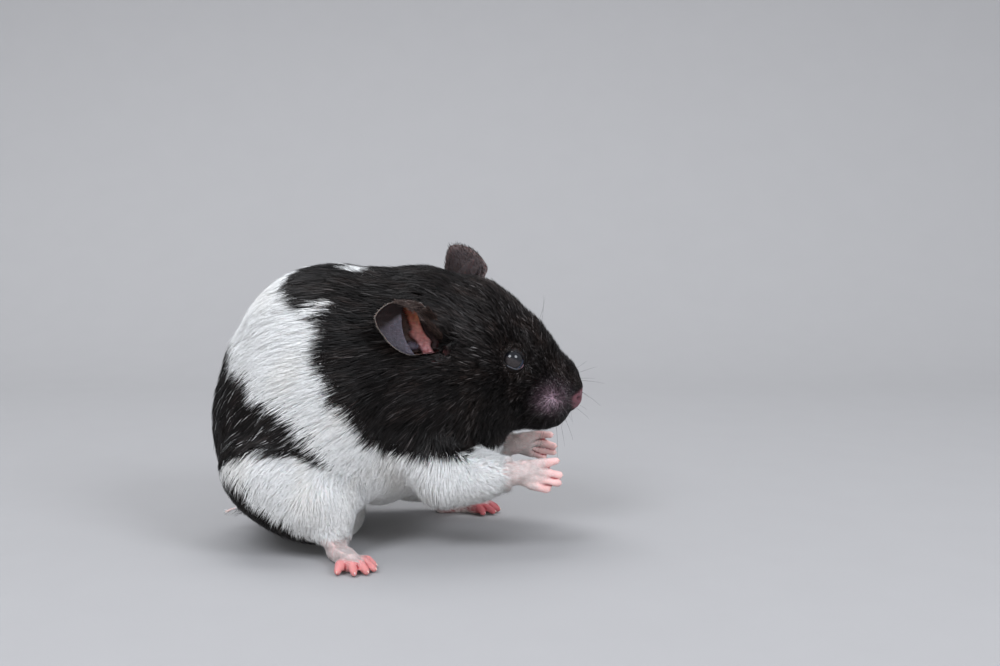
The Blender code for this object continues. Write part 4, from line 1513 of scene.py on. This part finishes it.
def eyeball(side):
    """A ball a little flattened behind, with a slight bulge of cornea, as points and quads."""
    rings, around = 40, 64
    gaze = GAZE[side]
    aside = unit(np.cross(gaze, HEAD_UP))
    up = np.cross(aside, gaze)
    polar = np.linspace(0.02, math.pi - 0.02, rings)
    turns = np.linspace(0, 2 * math.pi, around, endpoint=False)
    radius = EYE_RADIUS - 0.02 + 0.06 * np.exp(-((polar / 0.7) ** 2))
    spoke = np.cos(turns)[:, None] * aside + np.sin(turns)[:, None] * up
    out = np.cos(polar)[:, None, None] * gaze + np.sin(polar)[:, None, None] * spoke
    points = (EYES[side] + out * radius[:, None, None]).reshape(-1, 3)
    points = np.vstack([points, EYES[side] + gaze * radius[0], EYES[side] - gaze * radius[-1]])
    faces = tube_faces(rings, around)
    a, b, c = points[faces[0]]
    if np.cross(b - a, c - a) @ (a - EYES[side]) < 0:
        faces = faces[:, ::-1]
    return points, faces, eye_colours(unit(points - EYES[side]), side)


# The eye's brown is a painted reflection of the floor in its lower half.
REFLECTED_FLOOR_BROWN, PUPIL_BLACK = srgb(0x2A2627), srgb(0x0B0C12)
RIM_BLACK, WHITE_BLUE = srgb(0x040405), srgb(0x343B4A)


def eye_colours(out, side):
    """Black above, painted brown below as the floor's reflection, a black rim and a blue-grey crescent of the
    white in front.
    """
    gaze, ahead, up = eye_axes(side)
    # The iris is set back from the middle of the opening.
    iris = unit(gaze - 0.10 * ahead)
    angle = np.degrees(np.arccos(np.clip(out @ iris, -1, 1)))
    height = out @ up
    # Painted reflection: brown below the middle, black above it.
    colour = mix(np.broadcast_to(REFLECTED_FLOOR_BROWN, out.shape), PUPIL_BLACK, smoothstep(-0.12, 0.12, height))
    colour = mix(colour, RIM_BLACK, smoothstep(37.0, 42.0, angle))
    crescent = smoothstep(46.0, 50.0, angle) * smoothstep(63.0, 58.0, angle)
    crescent *= smoothstep(0.25, 0.5, out @ ahead) * smoothstep(0.35, 0.1, height)
    return mix(colour, WHITE_BLUE, crescent)


# ---------------------------------------------------------------- build

# The far hind foot's dark red is painted shade: that foot lies in shadow under the body.
FAR_FOOT_SHADE_RED, NOTCH_PINK = srgb(0xA05358), srgb(0x8A5A5B)
SKIN_SHADE = 0.92


def bare_paw_colours(skin, points):
    """Colours of the bare paws: redder toes, painted shade in deep pink between them and in hollows, and on
    the far foot.
    """
    toe_near = to_toes(points)
    # The far hind foot is painted darker and redder as shade.
    fore = smoothstep(10.0, 14.0, points[:, 2])
    far = smoothstep(0.0, 8.0, points[:, 1]) * (1 - fore)
    colour = mix(np.broadcast_to(PAW_PINK, points.shape), TOE_PINK, smoothstep(6.0, 3.0, toe_near))
    colour = mix(colour, FAR_FOOT_SHADE_RED, 0.85 * far)
    colour = mix(colour, PAW_PINK, 0.75 * fore)
    # Painted shade: deep pink where the skin is hollow and between the toes.
    shaded_hollow = np.sum((Neighbours(skin).smoothed(points, 36) - points) * normals_of(skin), axis=1)
    colour = mix(colour, DEEP_PINK_SHADE, smoothstep(0.08, 0.42, shaded_hollow) * smoothstep(8.0, 5.5, toe_near))
    return mix(colour, DEEP_PINK_SHADE, (0.75 - 0.2 * fore) * toe_clefts(points))


def skin_colours(skin, points):
    """Colours of the skin: the hair's own under the coat, with bare paws, tail, pads and nose."""
    head = in_head(points)
    nose = nose_leather(head)
    colour = coat_colours(points)[0] * SKIN_SHADE
    bare = np.clip(1.4 * smoothstep(2.4, 0.2, to_paw(points)), 0, 1)
    colour = mix(colour, bare_paw_colours(skin, points), bare)
    colour = mix(colour, TAIL_PINK, smoothstep(6.0, 2.5, to_tail_tip(points)) * 0.8)
    for side in (RIGHT, LEFT):
        colour = mix(colour, PAD_MAUVE, np.clip(1.1 * muzzle_pad(head, side), 0, 0.9))
    colour = mix(colour, NOTCH_PINK, np.clip(1.3 * ear_notch(points), 0, 0.9))
    colour = mix(colour, NOSE_ROSE, nose)
    # Painted shade in the nostrils.
    for side in (RIGHT, LEFT):
        colour = mix(colour, NOSTRIL_SHADE, nose * nostril(head, side))
    return colour


body = body_skin()
body_points = vertices_of(body)
EAR_SHEETS = {name: ear_sheet(name) for name in EARS}
unwrap = unwrapped(body)
grown = [coat(body), *(ear_hair(ear) for ear in EARS), *(lid_hair(side) for side in (RIGHT, LEFT))]
tufts = [np.concatenate(rows) for rows in zip(*grown)]

quads_to_triangles = [0, 1, 2, 0, 2, 3]
parts, tints = [(body_points, triangles_of(body))], [skin_colours(body, body_points)]
for side in (RIGHT, LEFT):
    lid_points, lid_faces, lid_tint = lid_ring(side)
    parts.append((lid_points, lid_faces[:, quads_to_triangles].reshape(-1, 3)))
    tints.append(lid_tint)
for ear in EARS:
    sheet = EAR_SHEETS[ear]
    parts.append((sheet["points"], sheet["faces"][:, quads_to_triangles].reshape(-1, 3)))
    tints.append(sheet["colours"])
skin_mesh = mesh_from("skin", *joined(parts))
set_tint(skin_mesh, np.vstack(tints))
skin_mesh.materials.append(thin_skin())
skin = place("skin", skin_mesh)
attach(skin, "root")
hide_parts(*FLESH, *EARS)

pale = tufts[2][:, 3].mean(axis=1) > PALE_FROM
for slot, chosen, finish in (
    ("dark_coat", ~pale, keratin_hair("black_hair", 0.12, 0.0)),
    ("white_coat", pale, keratin_hair("white_hair", 0.17, 0.5)),
):
    for piece in coat_pieces(slot, *(rows[chosen] for rows in tufts), unwrap, finish):
        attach(piece, "root")

cornea = wet_cornea()
for side, node in ((RIGHT, "eye_right"), (LEFT, "eye_left")):
    ball_points, ball_faces, ball_tint = eyeball(side)
    ball_mesh = mesh_from(node + "_ball", ball_points, ball_faces)
    set_tint(ball_mesh, ball_tint)
    ball_mesh.materials.append(cornea)
    ball = place(node + "_ball", ball_mesh)
    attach(ball, "root")
    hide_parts(node)

claw_mesh = mesh_from("claws", *claws())
claw_mesh.materials.append(claw_horn())
claw_piece = place("claws", claw_mesh)
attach(claw_piece, "root")

whisker_mesh = mesh_from("whiskers", *whiskers())
whisker_mesh.materials.append(whisker_hair())
whisker_piece = place("whiskers", whisker_mesh)
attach(whisker_piece, "root")

# ---------------------------------------------------------------- studio

FLOOR_CODE = 0x949394
# The sweep, in millimetres: its half width, its front and where its bend starts, its bend and its top.
SWEEP_HALF, SWEEP_FRONT, BEND_FROM, BEND_RADIUS, SWEEP_TOP = 1500.0, -900.0, 260.0, 240.0, 1400.0


def studio_sweep():
    """A floor that curves up into a wall behind."""
    profile = [(SWEEP_FRONT, 0.0), (BEND_FROM, 0.0)]
    for turned in np.linspace(0.1, math.pi / 2, 14):
        profile += [(BEND_FROM + BEND_RADIUS * math.sin(turned), BEND_RADIUS * (1 - math.cos(turned)))]
    profile += [(BEND_FROM + BEND_RADIUS, SWEEP_TOP)]
    points = [(x, y, z) for y, z in profile for x in (-SWEEP_HALF, SWEEP_HALF)]
    faces = [[2 * i, 2 * i + 1, 2 * i + 3, 2 * i + 2] for i in range(len(profile) - 1)]
    mesh = mesh_from("studio_sweep", np.array(points), faces)
    mesh.materials.append(matt_paper(FLOOR_CODE))
    return place("studio_sweep", mesh)


studio_sweep()


LOOKED_AT = Vector((0.0, 0.0, 0.04))


def area_light(name, at, size, watts, code):
    """A round soft light that looks at the animal's middle."""
    data = bpy.data.lights.new(name, "AREA")
    data.shape = "DISK"
    data.size = size
    data.energy = watts
    data.color = srgb(code)
    lamp = place(name, data)
    lamp.location = at
    lamp.rotation_euler = (LOOKED_AT - Vector(at)).to_track_quat("-Z", "Y").to_euler()
    return lamp


area_light("overhead_softbox", (-0.15, 0.34, 0.95), 0.7, 7.2, 0xFAFCFF)
area_light("left_softbox", (-0.253, -0.505, 0.608), 0.34, 3.9, 0xF4F8FF)
area_light("right_softbox", (0.492, -0.442, 0.539), 0.34, 3.7, 0xF4F8FF)
# The fill lights the belly and the fur's undersides without a third highlight in the eye.
fill = area_light("low_fill", (0.05, -0.80, 0.09), 0.5, 2.4, 0xFFFBF6)
fill.visible_glossy = False

world = bpy.data.worlds.new("studio_air")
world.use_nodes = True
bpy.context.scene.world = world
air = world.node_tree.nodes["Background"]
air.inputs["Color"].default_value = rgba(srgb(0xE9EDF2))
air.inputs["Strength"].default_value = 0.88

# The camera stands to the animal's right, a little above its head, and looks 7 degrees down.
CAMERA_AT, CAMERA_DOWN = (28.1, -375.0, 102.0), 7.0
camera = place("camera", bpy.data.cameras.new("camera"))
camera.data.lens = 50.0
camera.data.sensor_width = 36.0
camera.data.clip_start = 0.01
camera.location = Vector(CAMERA_AT) * MM + Vector(SEAT) * MM
camera.rotation_euler = (math.radians(90.0 - CAMERA_DOWN), 0.0, 0.0)
bpy.context.scene.camera = camera
bpy.context.scene.view_settings.view_transform = "Standard"
